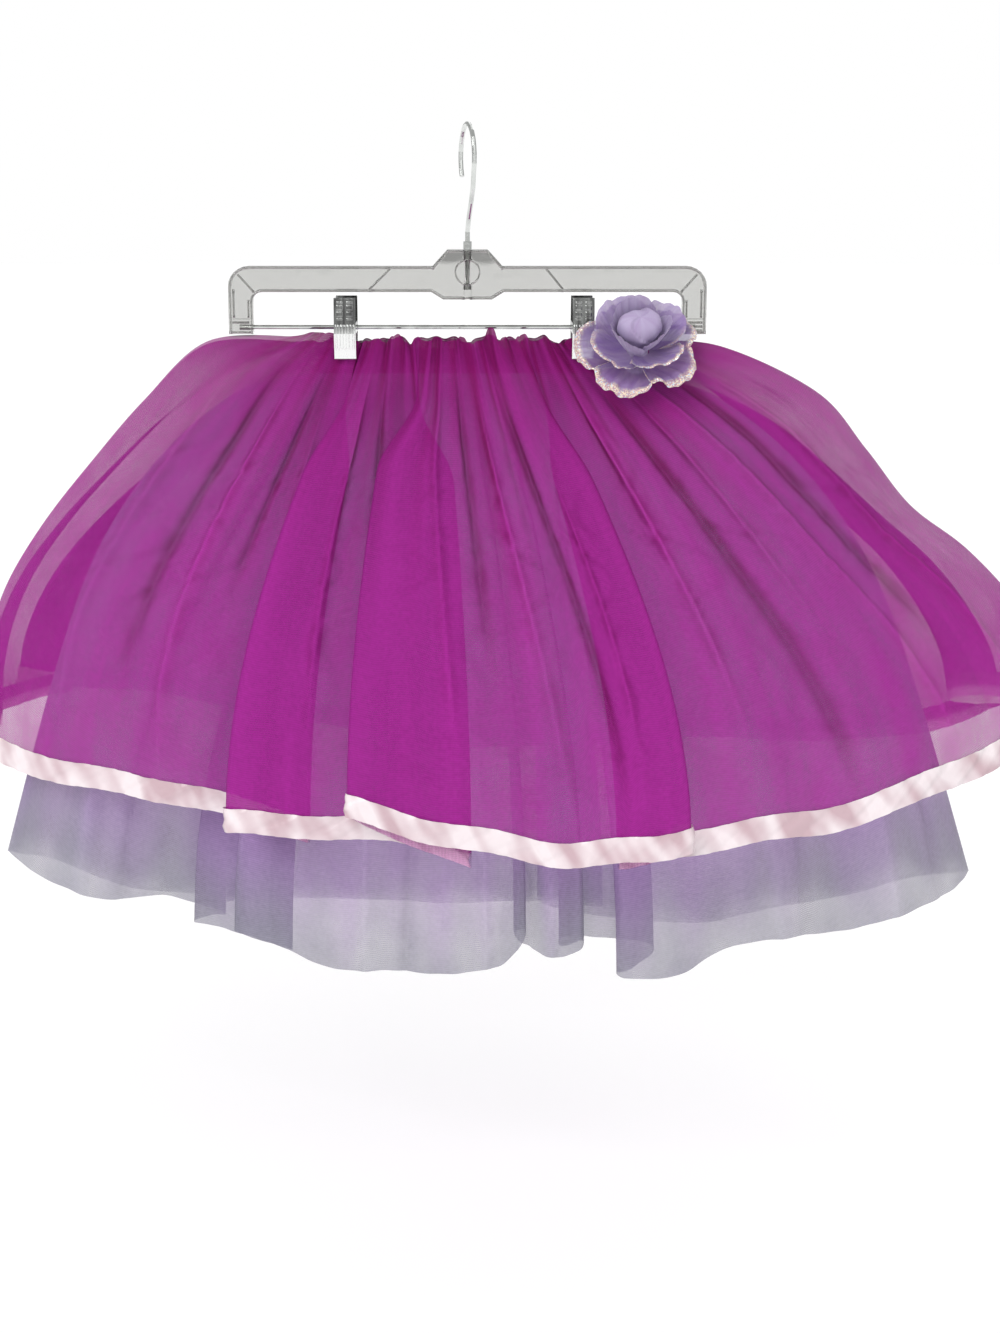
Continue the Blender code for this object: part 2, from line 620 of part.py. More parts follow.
def spring(name, centre_x):
    """The clip's spring: a barrel round the rod, between the ears."""
    half = CLIP_WIDTH / 2 - JAW_SHEET - SEAM_GAP
    barrel = cylinder(name, (centre_x - half, 0, ROD_Z), (centre_x + half, 0, ROD_Z), 0.0042, 14)
    bore = cylinder(f"{name}_bore", (centre_x - half - 0.002, 0, ROD_Z),
                    (centre_x + half + 0.002, 0, ROD_Z), ROD_RADIUS + BORE_CLEARANCE, 12)
    return combine(barrel, bore, "DIFFERENCE")


def flower_place():
    """From the flower's own frame, with +Z out of its heart, to the skirt: it leans up from its sewn foot."""
    tilt = Matrix.Rotation(math.radians(90) - FLOWER_TILT, 4, "X")
    lean = Matrix.Identity(4)
    lean[1][2] = FLOWER_RISE
    lean[1][3] = FLOWER_LIFT
    squash = Matrix.Diagonal((1.0, FLOWER_SQUASH, 1.0, 1.0))
    return Matrix.Translation(FLOWER_CENTRE) @ tilt @ lean @ squash


# petals: count, first_angle, foot_radius, reach, foot_height, rise, curl, overlap, lean
PETAL_RINGS = {
    "outer": (5, 250.0, 0.0088, 0.0475, -0.0110, 0.0110, 0.0080, 1.22, 0.0016),
    "middle": (4, 215.0, 0.0088, 0.0375, -0.0065, 0.0190, 0.0040, 1.22, 0.0016),
    "inner": (3, 100.0, 0.0094, 0.0230, -0.0015, 0.0220, 0.0, 1.15, 0.0016),
}


def petal(ring, index):
    """One petal: a cupped leaf that leans over its neighbour, with a rounded and rolled rim."""
    count, first, foot, reach, foot_height, rise, curl, overlap, lean = PETAL_RINGS[ring]
    a = np.linspace(-1, 1, 7)[:, None]
    b = np.linspace(0, 1, 5)[None, :]
    length = b * (1 - 0.30 * np.abs(a) ** 2.5)
    half_angle = math.pi / count * overlap * (1 - 0.12 * b)
    angle = math.radians(first + 360.0 * index / count) + a * half_angle
    radius = foot + (reach - foot) * length
    rolled = np.clip((length - 0.72) / 0.28, 0, 1)
    height = foot_height + rise * length**1.6 - curl * rolled**2
    points = np.stack([radius * np.cos(angle), radius * np.sin(angle), height + 0 * a], axis=2)
    normal = grid_normals(points, BACK)
    leaf = wall_mesh(f"petal_{ring}_{index + 1}", points + normal * lean * a[:, :, None], normal, PETAL)
    leaf.data.transform(flower_place())
    return leaf


def flower_heart():
    """The bud and the foot under it: a turned solid that the petals stand round."""
    profile = [(0.0, -FLOWER_STEM), (0.0078, -FLOWER_STEM), (0.0078, 0.000), (0.0105, 0.007), (0.0112, 0.013),
               (0.0085, 0.0190), (0.0, 0.0215)]
    steps = 14
    shape = bmesh.new()
    verts = [shape.verts.new((radius, 0, height)) for radius, height in profile]
    edges = [shape.edges.new(pair) for pair in zip(verts, verts[1:])]
    bmesh.ops.spin(shape, geom=verts + edges, axis=(0, 0, 1), cent=(0, 0, 0), steps=steps,
                   angle=2 * math.pi)
    bmesh.ops.remove_doubles(shape, verts=shape.verts, dist=1e-6)
    bmesh.ops.recalc_face_normals(shape, faces=shape.faces)
    bud = finish_mesh("flower_bud", shape)
    bud.data.transform(flower_place())
    return bud


def build_skirt():
    magenta = (0.36, 0.03, 0.27)
    lavender = (0.42, 0.34, 0.62)
    pink = (0.80, 0.55, 0.60)
    paint(panel("outer_front", OUTER_FRONT_DRAPE, LEVELS), magenta, 0.8)
    paint(panel("outer_back", OUTER_BACK_DRAPE, LEVELS), magenta, 0.8)
    paint(panel("under_front", UNDER_FRONT_DRAPE, UNDER_LEVELS), lavender, 0.8)
    paint(panel("under_back", UNDER_BACK_DRAPE, UNDER_LEVELS), lavender, 0.8)
    paint(hem_ribbon("ribbon_front", OUTER_FRONT_DRAPE), pink, 0.35)
    paint(hem_ribbon("ribbon_back", OUTER_BACK_DRAPE), pink, 0.35)
    paint(waistband(), (0.20, 0.02, 0.14), 0.8)


def build_flower():
    for ring, row in PETAL_RINGS.items():
        for index in range(row[0]):
            paint(petal(ring, index), (0.40, 0.32, 0.62), 0.6)
    paint(flower_heart(), (0.48, 0.40, 0.68), 0.6)


def build_hanger():
    steel = (0.62, 0.64, 0.62)
    paint(hanger_frame(), (0.85, 0.85, 0.84), 0.05, alpha=0.4)
    inner_x = HANGER_HALF_WIDTH - LEG_WIDTH
    paint(cylinder("rod", (-inner_x - ROD_IN_LEG, 0, ROD_Z), (inner_x + ROD_IN_LEG, 0, ROD_Z),
                   ROD_RADIUS, 12), steel, 0.15, 1.0)
    paint(hook(), steel, 0.15, 1.0)
    for centre_x, word in zip(CLIP_X, ("left", "right")):
        paint(jaw(f"clip_{word}_front", centre_x, -1), steel, 0.25, 1.0)
        paint(jaw(f"clip_{word}_back", centre_x, 1), steel, 0.25, 1.0)
        paint(spring(f"clip_{word}_spring", centre_x), steel, 0.25, 1.0)


for leftover in list(bpy.data.objects):
    bpy.data.objects.remove(leftover)
build_skirt()
build_flower()
build_hanger()
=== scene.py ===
import math

import bpy
import numpy as np
from bpy.props import FloatProperty, FloatVectorProperty, PointerProperty
from mathutils import Matrix, Vector


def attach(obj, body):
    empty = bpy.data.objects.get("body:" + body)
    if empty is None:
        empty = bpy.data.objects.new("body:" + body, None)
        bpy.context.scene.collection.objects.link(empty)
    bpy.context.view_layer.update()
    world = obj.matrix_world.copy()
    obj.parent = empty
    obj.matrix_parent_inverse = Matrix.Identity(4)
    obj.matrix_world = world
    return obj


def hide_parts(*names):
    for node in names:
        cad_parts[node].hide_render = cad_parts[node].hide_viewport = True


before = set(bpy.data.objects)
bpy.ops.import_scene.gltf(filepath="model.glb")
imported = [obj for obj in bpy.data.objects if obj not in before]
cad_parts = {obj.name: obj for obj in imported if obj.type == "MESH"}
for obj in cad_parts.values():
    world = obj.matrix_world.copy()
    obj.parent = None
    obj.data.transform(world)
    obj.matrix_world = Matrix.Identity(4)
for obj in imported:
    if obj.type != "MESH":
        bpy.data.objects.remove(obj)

bl_info = {
    "name": "Hanging tulle skirt",
    "version": (1, 0, 0),
    "blender": (4, 5, 0),
    "location": "3D View > Sidebar > Skirt",
    "description": "Dresses a tulle skirt on its clip hanger: net layers, ribbon hem, organza flower, hanger",
    "category": "Object",
}

BODY = "root"

# The cloth's walls, gaps and waist in metres, as in the solids
CLOTH = 0.001
SEAM_GAP = 0.0003
SEAM_HALF_GAP = 0.0006
WAIST_TOP_Z = -0.157
BAND_TOP_Z = -0.162
BAND_HEIGHT = 0.018
BAND_HALF_DEPTH = 0.0053
WAIST_HALF_WIDTH = 0.127
WAIST_HALF_DEPTH = 0.0084
UNDER_WAIST_HALF_WIDTH = 0.118
UNDER_TOP_Z = BAND_TOP_Z - BAND_HEIGHT - SEAM_GAP

# Powers of the curves of the waist and the hems, and of the blends towards the sides, as in the solids
HEM_ARC_POWER = 2.4
HEM_ARC_ROUNDNESS = 0.85
WAIST_ARC_POWER = 10.0
LEFT_BLEND = 9
RIGHT_BLEND = 4
GATHER_END = 6

# Places and lengths down a panel, in shares of its drop, as in the solids
FLAT_PART = 0.060
LAYER_GROWTH = 0.08
TUCK_START = 0.12
TUCK_GROWTH = 0.16
RIBBON_PLACE = 0.958
PUFF_FADE = 0.15

# The swell beside the left clip, in shares of half the waist, as in the solids
PUFF_PLACE = -0.88
PUFF_WIDTH = 0.22

# How tightly a pleat's edge turns, as in the solids, and where the creases begin beside it, in sections
EDGE_TURN = 5.0
CLEAR_START = 0.35
CLEAR_GROWTH = 0.55

# Heights of the header's slow wave and of its lobes
HEADER_WAVE = 0.0030
LOBE_RISE = 0.0030

# How much further than the gathers the painted shade in their troughs reaches, and how sharp a crease is
TROUGH_REACH = 1.6
CREASE_POWER = 1.5

# The calm strip over the upper hem, in shares of the drop, and how much calmer it is
CALM_START = 0.84
CALM_GROWTH = 0.12
CALM_SHARE = 0.7

# How much more the back underskirt's hem waves than the others
LOOSE_HEM_WAVE = 2.2

# The ribbon: how far it laps over its place, in shares of the drop, and its crown in metres
RIBBON_OVERLAP = 0.004
RIBBON_CROWN = 0.0004

# How the cloth runs from waist to hem, at even steps down it
# spread, drop
FALL_LEFT = (
    (0.000, 0.000), (0.270, 0.005), (0.464, 0.140), (0.627, 0.286), (0.778, 0.434),
    (0.900, 0.585), (0.964, 0.720), (0.996, 0.860), (1.000, 1.000),
)
FALL_MIDDLE = (
    (0.000, 0.000), (0.170, 0.120), (0.350, 0.245), (0.530, 0.370), (0.690, 0.495),
    (0.820, 0.620), (0.915, 0.745), (0.975, 0.872), (1.000, 1.000),
)
FALL_RIGHT = (
    (0.000, 0.000), (0.180, 0.010), (0.400, 0.130), (0.515, 0.280), (0.620, 0.430),
    (0.750, 0.545), (0.870, 0.690), (0.965, 0.850), (1.000, 1.000),
)
FALL_UNDER_SIDE = (
    (0.000, 0.000), (0.200, 0.030), (0.360, 0.100), (0.490, 0.185), (0.610, 0.290),
    (0.715, 0.420), (0.815, 0.600), (0.910, 0.800), (1.000, 1.000),
)

# The panels' sections, left to right. Where hem_x steps back, the cloth lies three deep in a knife
# pleat: layer moves its edges in and out, and tuck sets them sideways straight below the waist.
# waist_x, hem_x, hem_z, layer, tuck
OUTER_FRONT = (
    (-0.1270, -0.379, -0.470, 0.000, 0.000),
    (-0.1235, -0.365, -0.482, 0.000, 0.000),
    (-0.1160, -0.320, -0.486, 0.003, 0.000),
    (-0.1070, -0.272, -0.492, -0.003, 0.000),
    (-0.0980, -0.226, -0.495, 0.002, 0.000),
    (-0.0890, -0.173, -0.503, -0.008, 0.000),
    (-0.0830, -0.117, -0.515, -0.004, 0.012),
    (-0.0790, -0.147, -0.508, 0.000, 0.000),
    (-0.0750, -0.177, -0.501, 0.004, -0.012),
    (-0.0680, -0.140, -0.502, 0.008, 0.000),
    (-0.0580, -0.096, -0.505, 0.000, 0.000),
    (-0.0480, -0.042, -0.509, -0.008, 0.008),
    (-0.0400, 0.003, -0.520, -0.004, 0.022),
    (-0.0360, -0.041, -0.504, 0.000, 0.000),
    (-0.0320, -0.086, -0.481, 0.004, -0.022),
    (-0.0230, -0.045, -0.493, 0.008, -0.008),
    (-0.0110, 0.004, -0.504, 0.003, 0.000),
    (0.0030, 0.056, -0.518, -0.003, 0.000),
    (0.0170, 0.102, -0.513, 0.002, 0.000),
    (0.0290, 0.134, -0.511, 0.008, 0.000),
    (0.0380, 0.161, -0.509, 0.004, 0.010),
    (0.0420, 0.135, -0.517, 0.000, 0.000),
    (0.0460, 0.109, -0.523, -0.004, -0.010),
    (0.0540, 0.165, -0.517, -0.008, 0.000),
    (0.0650, 0.213, -0.509, -0.003, 0.000),
    (0.0770, 0.267, -0.506, -0.003, 0.000),
    (0.0890, 0.320, -0.494, 0.003, 0.000),
    (0.1010, 0.370, -0.482, -0.002, 0.000),
    (0.1130, 0.415, -0.468, 0.002, 0.000),
    (0.1215, 0.449, -0.457, 0.000, 0.000),
    (0.1270, 0.468, -0.446, 0.000, 0.000),
)
OUTER_BACK = (
    (-0.1270, -0.379, -0.470, -0.004, 0.000),
    (-0.1225, -0.368, -0.461, -0.002, 0.006),
    (-0.1200, -0.376, -0.460, 0.001, 0.000),
    (-0.1175, -0.382, -0.457, 0.004, -0.006),
    (-0.1110, -0.347, -0.447, -0.004, 0.000),
    (-0.1040, -0.319, -0.444, -0.003, 0.012),
    (-0.1000, -0.341, -0.444, 0.001, 0.000),
    (-0.0960, -0.364, -0.445, 0.005, -0.012),
    (-0.0820, -0.279, -0.452, 0.008, 0.000),
    (-0.0650, -0.210, -0.467, -0.004, 0.000),
    (-0.0450, -0.142, -0.488, 0.004, 0.000),
    (-0.0230, -0.070, -0.502, -0.004, 0.000),
    (0.0000, 0.002, -0.511, 0.004, 0.000),
    (0.0220, 0.074, -0.508, -0.004, 0.000),
    (0.0430, 0.151, -0.506, 0.004, 0.000),
    (0.0620, 0.224, -0.497, -0.003, 0.000),
    (0.0790, 0.302, -0.496, 0.002, 0.000),
    (0.0910, 0.374, -0.488, 0.008, 0.000),
    (0.0985, 0.434, -0.458, 0.004, 0.014),
    (0.1030, 0.410, -0.453, 0.000, 0.000),
    (0.1075, 0.387, -0.450, -0.004, -0.014),
    (0.1150, 0.413, -0.440, -0.006, 0.000),
    (0.1220, 0.448, -0.436, 0.000, 0.000),
    (0.1270, 0.468, -0.446, 0.000, 0.000),
)
UNDER_FRONT = (
    (-0.1180, -0.366, -0.560, 0.000, 0.000),
    (-0.1120, -0.333, -0.578, 0.004, 0.000),
    (-0.1030, -0.285, -0.587, 0.000, 0.000),
    (-0.0940, -0.238, -0.588, -0.014, 0.000),
    (-0.0860, -0.190, -0.598, -0.012, 0.004),
    (-0.0820, -0.200, -0.597, -0.008, 0.000),
    (-0.0780, -0.211, -0.596, -0.004, -0.004),
    (-0.0720, -0.181, -0.604, -0.004, 0.000),
    (-0.0660, -0.135, -0.615, -0.003, 0.006),
    (-0.0620, -0.157, -0.607, 0.001, 0.000),
    (-0.0580, -0.177, -0.597, 0.005, -0.006),
    (-0.0500, -0.134, -0.610, 0.008, 0.000),
    (-0.0400, -0.093, -0.623, 0.002, 0.000),
    (-0.0300, -0.051, -0.623, 0.006, 0.000),
    (-0.0190, -0.009, -0.627, 0.003, 0.000),
    (-0.0080, 0.024, -0.617, 0.009, 0.000),
    (0.0000, 0.044, -0.594, 0.003, 0.004),
    (0.0040, 0.035, -0.595, -0.003, 0.000),
    (0.0100, 0.045, -0.606, -0.009, -0.004),
    (0.0160, 0.065, -0.611, 0.006, 0.000),
    (0.0220, 0.088, -0.606, 0.001, 0.005),
    (0.0260, 0.079, -0.605, -0.004, 0.000),
    (0.0300, 0.070, -0.605, -0.009, -0.005),
    (0.0360, 0.093, -0.603, -0.014, 0.000),
    (0.0420, 0.141, -0.611, -0.009, 0.006),
    (0.0460, 0.127, -0.625, -0.003, 0.000),
    (0.0500, 0.115, -0.634, 0.003, -0.006),
    (0.0580, 0.154, -0.632, 0.009, 0.000),
    (0.0690, 0.197, -0.614, 0.002, 0.000),
    (0.0800, 0.247, -0.605, 0.008, 0.000),
    (0.0900, 0.298, -0.611, -0.002, 0.000),
    (0.1000, 0.341, -0.598, 0.004, 0.000),
    (0.1100, 0.382, -0.590, -0.002, 0.000),
    (0.1180, 0.400, -0.577, 0.000, 0.000),
)
UNDER_BACK = (
    (-0.1180, -0.366, -0.560, 0.000, 0.000),
    (-0.1060, -0.332, -0.575, 0.004, 0.000),
    (-0.0880, -0.272, -0.590, -0.004, 0.000),
    (-0.0700, -0.214, -0.604, -0.009, 0.000),
    (-0.0540, -0.149, -0.613, -0.005, 0.006),
    (-0.0480, -0.170, -0.610, 0.000, 0.000),
    (-0.0420, -0.191, -0.610, 0.005, -0.006),
    (-0.0140, -0.055, -0.620, 0.009, 0.000),
    (0.0080, 0.018, -0.617, 0.009, 0.000),
    (0.0300, 0.108, -0.620, 0.005, 0.006),
    (0.0370, 0.085, -0.617, 0.000, 0.000),
    (0.0440, 0.062, -0.616, -0.005, -0.006),
    (0.0660, 0.190, -0.621, -0.009, 0.000),
    (0.0860, 0.261, -0.612, -0.003, 0.000),
    (0.1040, 0.341, -0.595, 0.003, 0.000),
    (0.1180, 0.400, -0.577, 0.000, 0.000),
)

# Tufts of the gathered header that stand up over the band
# waist_x, rise, half_width
HEADER_TUFTS = (
    (-0.0860, 0.0020, 0.0050),
    (-0.0680, 0.0025, 0.0035),
    (-0.0540, 0.0052, 0.0050),
    (-0.0380, 0.0030, 0.0030),
    (-0.0225, 0.0022, 0.0040),
    (-0.0040, 0.0040, 0.0032),
    (0.0175, 0.0085, 0.0042),
    (0.0270, 0.0034, 0.0028),
    (0.0405, 0.0060, 0.0046),
    (0.0590, 0.0016, 0.0040),
    (0.0780, 0.0030, 0.0050),
)

# Creases in the cloth: where each starts and ends across the panel (in sections), its half width there,
# how far it stands out, and the shares of the drop where it starts and ends
# start, end, half_width, height, top, bottom
OUTER_FRONT_CREASES = (
    (1.6, 2.2, 0.12, 0.0034, 0.10, 0.98),
    (2.7, 3.1, 0.10, -0.0034, 0.06, 0.80),
    (3.3, 3.9, 0.11, 0.0036, 0.05, 0.96),
    (4.5, 4.4, 0.08, -0.0028, 0.04, 0.62),
    (4.9, 5.3, 0.10, 0.0030, 0.10, 0.92),
    (9.2, 9.6, 0.10, 0.0032, 0.05, 0.88),
    (10.0, 10.9, 0.11, -0.0036, 0.04, 0.98),
    (12.3, 12.0, 0.12, 0.0026, 0.30, 0.86),
    (15.2, 15.9, 0.10, 0.0034, 0.05, 0.90),
    (16.1, 16.5, 0.09, -0.0032, 0.03, 0.70),
    (16.7, 17.5, 0.11, 0.0036, 0.05, 1.00),
    (17.6, 18.5, 0.10, -0.0034, 0.06, 0.94),
    (18.6, 18.9, 0.10, 0.0028, 0.20, 0.84),
    (23.5, 24.1, 0.10, 0.0036, 0.04, 0.86),
    (24.5, 25.5, 0.12, -0.0038, 0.05, 1.00),
    (25.4, 25.9, 0.09, 0.0030, 0.04, 0.66),
    (26.1, 27.1, 0.11, 0.0040, 0.05, 1.00),
    (27.0, 27.6, 0.10, -0.0034, 0.05, 0.80),
    (27.8, 28.5, 0.11, 0.0032, 0.08, 0.96),
)
OUTER_BACK_CREASES = (
    (4.4, 4.2, 0.12, 0.0030, 0.08, 0.80),
    (8.3, 8.8, 0.12, -0.0034, 0.06, 0.94),
    (9.4, 9.2, 0.10, 0.0034, 0.06, 0.70),
    (10.4, 10.9, 0.12, -0.0032, 0.08, 0.90),
    (11.5, 11.3, 0.10, 0.0030, 0.05, 0.60),
    (12.4, 12.9, 0.12, 0.0036, 0.08, 0.96),
    (13.5, 13.3, 0.10, -0.0032, 0.06, 0.74),
    (14.5, 15.0, 0.12, 0.0034, 0.08, 0.90),
    (15.6, 15.4, 0.10, -0.0034, 0.05, 0.72),
    (16.5, 16.7, 0.12, 0.0030, 0.10, 0.90),
    (21.3, 21.6, 0.12, 0.0026, 0.08, 0.84),
)
UNDER_FRONT_CREASES = (
    (1.4, 1.6, 0.14, 0.0028, 0.15, 1.15),
    (2.6, 2.3, 0.12, -0.0028, 0.10, 1.15),
    (4.5, 4.6, 0.12, 0.0026, 0.20, 1.15),
    (12.0, 12.4, 0.14, 0.0028, 0.20, 1.15),
    (13.5, 13.1, 0.12, -0.0026, 0.20, 1.15),
    (14.4, 14.7, 0.12, 0.0026, 0.30, 1.15),
    (28.4, 28.9, 0.14, 0.0030, 0.15, 1.15),
    (29.6, 29.3, 0.12, -0.0028, 0.12, 1.15),
    (30.6, 30.9, 0.14, 0.0028, 0.15, 1.15),
    (32.0, 31.8, 0.12, -0.0026, 0.20, 1.15),
)
UNDER_BACK_CREASES = (
    (1.5, 1.4, 0.12, 0.0026, 0.10, 1.15),
    (2.6, 2.8, 0.12, -0.0026, 0.10, 1.15),
    (7.3, 7.6, 0.12, 0.0026, 0.10, 1.15),
    (8.5, 8.3, 0.12, -0.0026, 0.10, 1.15),
    (12.6, 12.4, 0.12, 0.0026, 0.10, 1.15),
)


class Drape:
    """One panel: its sections, its side of the skirt, and how it hangs between them."""

    def __init__(self, sections, side, depth, top_z, waist_half_width, waist_half_depth,
                 creases, side_falls, gathers=0, puff_height=0.0):
        self.sections = np.array(sections)
        self.side = side
        self.depth = depth
        self.top_z = top_z
        self.waist_half_width = waist_half_width
        self.waist_half_depth = waist_half_depth
        self.creases = np.array(creases)
        self.side_falls = side_falls
        self.gathers = gathers
        self.puff_height = puff_height

    def edges(self):
        """The rows where hem_x turns back, each with the share of a section that its turn takes."""
        steps = np.diff(self.sections[:, 1])
        rows = [k for k in range(1, len(steps)) if steps[k - 1] * steps[k] < 0]
        return [(k, 0.5 if {k - 1, k + 1} & set(rows) else 1.0) for k in rows]

    def layer_places(self, t):
        """The places t, drawn away from each pleat's edge by a tanh curve, so that it turns in a U."""
        for k, reach in self.edges():
            u = (t - k) / reach
            turned = k + reach * np.tanh(EDGE_TURN * u) / math.tanh(EDGE_TURN)
            t = np.where(np.abs(u) < 1, turned, t)
        return t

    def clear_of_edges(self, t):
        """0 at each pleat's edge and 1 away from it, so that the edge itself runs straight."""
        clear = np.ones_like(t)
        for k, reach in self.edges():
            clear = clear * smooth((np.abs(t - k) / reach - CLEAR_START) / CLEAR_GROWTH)
        return clear


FRONT, BACK = -1.0, 1.0
UPPER_DRAPES = {
    "front": Drape(OUTER_FRONT, FRONT, 0.150, WAIST_TOP_Z, WAIST_HALF_WIDTH, WAIST_HALF_DEPTH,
                   OUTER_FRONT_CREASES, (FALL_LEFT, FALL_RIGHT), gathers=26, puff_height=0.008),
    "back": Drape(OUTER_BACK, BACK, 0.120, WAIST_TOP_Z, WAIST_HALF_WIDTH, WAIST_HALF_DEPTH,
                  OUTER_BACK_CREASES, (FALL_LEFT, FALL_RIGHT), gathers=26),
}
UNDER_DRAPES = {
    "front": Drape(UNDER_FRONT, FRONT, 0.088, UNDER_TOP_Z, UNDER_WAIST_HALF_WIDTH, BAND_HALF_DEPTH,
                   UNDER_FRONT_CREASES, (FALL_UNDER_SIDE, FALL_UNDER_SIDE)),
    "back": Drape(UNDER_BACK, BACK, 0.030, UNDER_TOP_Z, UNDER_WAIST_HALF_WIDTH, BAND_HALF_DEPTH,
                  UNDER_BACK_CREASES, (FALL_UNDER_SIDE, FALL_UNDER_SIDE)),
}


def through_rows(table, t):
    """Each column's values at the places t between the rows, on a Catmull-Rom cubic through them."""
    table = np.asarray(table)
    last = len(table) - 1
    low = np.clip(np.floor(t).astype(int), 0, last - 1)
    u = (t - low)[:, None]
    before = table[np.clip(low - 1, 0, last)]
    here = table[low]
    there = table[low + 1]
    after = table[np.clip(low + 2, 0, last)]
    return 0.5 * (2 * here + (there - before) * u + (2 * before - 5 * here + 4 * there - after) * u**2
                  + (3 * here - before - 3 * there + after) * u**3)


def smooth(x):
    """The cubic 3x^2 - 2x^3, held at 0 and 1."""
    x = np.clip(x, 0.0, 1.0)
    return x * x * (3 - 2 * x)


def fall(table, v):
    """Spread and drop at the shares v of the cloth's length."""
    return through_rows(table, np.clip(v, 0, 1) * (len(table) - 1)).T


def sway(x, seed):
    """An uneven wave from -1 to 1: the mean of three sines whose pitches share no factor."""
    return (np.sin(5.3 * x + seed) + np.sin(8.9 * x + 2.1 * seed) + np.sin(14.7 * x + 3.7 * seed)) / 3


def hang(drape, t, v):
    """The panel as it hangs without gathers or creases, at the places t across it and the shares v down it.

    A point starts at the gathered waist, a flat superellipse, and goes out and down by its fall
    table to the hem, a wider superellipse. Its pleats' layers part below the band, then tuck in.
    """
    columns = through_rows(drape.sections, t).T
    waist_x, hem_x, hem_z, plain_layer, tuck = (column[:, None] for column in columns)
    turned_layer = through_rows(drape.sections, drape.layer_places(t))[:, 3, None]
    across = np.clip(waist_x / drape.waist_half_width, -1, 1)

    spread, drop = fall(FALL_MIDDLE, v)
    for table, beside, blend in zip(drape.side_falls, (-across, across), (LEFT_BLEND, RIGHT_BLEND)):
        share = np.clip(beside, 0, 1) ** blend
        side_spread, side_drop = fall(table, v)
        spread = spread + share * (side_spread - spread)
        drop = drop + share * (side_drop - drop)

    settled = smooth((v - FLAT_PART) / LAYER_GROWTH)
    tucked = smooth((v - TUCK_START) / TUCK_GROWTH)
    x = waist_x + (hem_x - waist_x - tuck) * spread + tuck * tucked
    layer = (plain_layer + (turned_layer - plain_layer) * tucked) * settled

    waist_arc = np.sqrt(1 - np.abs(across) ** WAIST_ARC_POWER)
    hem_arc = (1 - np.abs(across) ** HEM_ARC_POWER) ** HEM_ARC_ROUNDNESS
    forward = fall(FALL_MIDDLE, (v - FLAT_PART) / (1 - FLAT_PART))[0]
    waist_y = drape.waist_half_depth * waist_arc
    y = np.maximum(waist_y + (drape.depth * hem_arc - waist_y) * forward + layer, SEAM_HALF_GAP)

    beside = np.clip(1 - ((across - PUFF_PLACE) / PUFF_WIDTH) ** 2, 0, 1) ** 2
    puff = drape.puff_height * beside * np.exp(-(v / PUFF_FADE) ** 2)
    z = drape.top_z + (hem_z - drape.top_z) * drop + puff
    return np.stack([x, drape.side * y, z], axis=2)


def gather(drape, points, t, v, clear, settings):
    """Puts the gathers and the header into the panel's points, and gives the depth of each trough.

    Gathers are sines across the waist that fade as exp(-v / fade), over slower ones that reach further
    down. Over the band the header opens and rises in round lobes, the square root of a slow sine, and
    in front single tufts exp(-u^4) stand up from it.
    """
    waist_x = through_rows(drape.sections, t)[:, 0, None]
    across = np.clip(waist_x / drape.waist_half_width, -1, 1)
    ends = 1 - np.abs(across) ** GATHER_END
    phase = math.pi * drape.gathers * across + 2.4 * sway(3.1 * across, drape.side)
    fade = settings.gather_fade * (1 + 0.7 * sway(4.3 * across, 1.7 + drape.side))
    wave = np.sin(phase + 0.5 * np.sin(phase))
    uneven = 0.8 + 0.55 * sway(8.3 * across, 2.5)
    near = uneven * wave * np.exp(-v / fade)
    slow = np.sin(0.5 * phase + 2 * sway(across, 2.0)) + 0.6 * np.sin(0.23 * phase + 1.0)
    far = slow * smooth(v / 0.2) * np.exp(-v / 0.6) * clear

    header = np.clip(1 - v / FLAT_PART, 0, 1)
    lobes = np.sqrt(np.abs(np.sin(0.13 * phase + 1.6 * sway(2 * across, 3.0))))
    out = settings.gather_depth * (near + far) + settings.header_flare * header**2 * (2 * lobes - 1)
    out = ends * out + drape.side * points[:, :, 1]
    points[:, :, 1] = drape.side * np.maximum(out, SEAM_HALF_GAP)

    rise = HEADER_WAVE * (0.4 + sway(4 * across, 5.0))
    if drape.side == FRONT:
        place, height, half_width = (np.array(HEADER_TUFTS)[:, k, None] for k in range(3))
        tufts = height * np.exp(-((waist_x[None, :, 0] - place) / half_width) ** 4)
        rise = rise / 2 + tufts.sum(0)[:, None]
    points[:, :, 2] += ends * header**1.5 * (rise + LOBE_RISE * (lobes - 0.6))
    return np.clip(-wave, 0, 1) * ends * np.exp(-v / (TROUGH_REACH * fade))


def crease_height(drape, t, v):
    """Height of the creases: ridges exp(-|u|^1.5) along their lines, grown in and out at their ends."""
    start, end, half_width, height, top, bottom = (drape.creases[:, k, None, None] for k in range(6))
    u = (t[None, :, None] - start - (end - start) * v) / half_width
    window = smooth((v - top) / 0.2) * smooth((bottom - v) / 0.25)
    return (height * np.exp(-np.abs(u) ** CREASE_POWER) * window).sum(0)


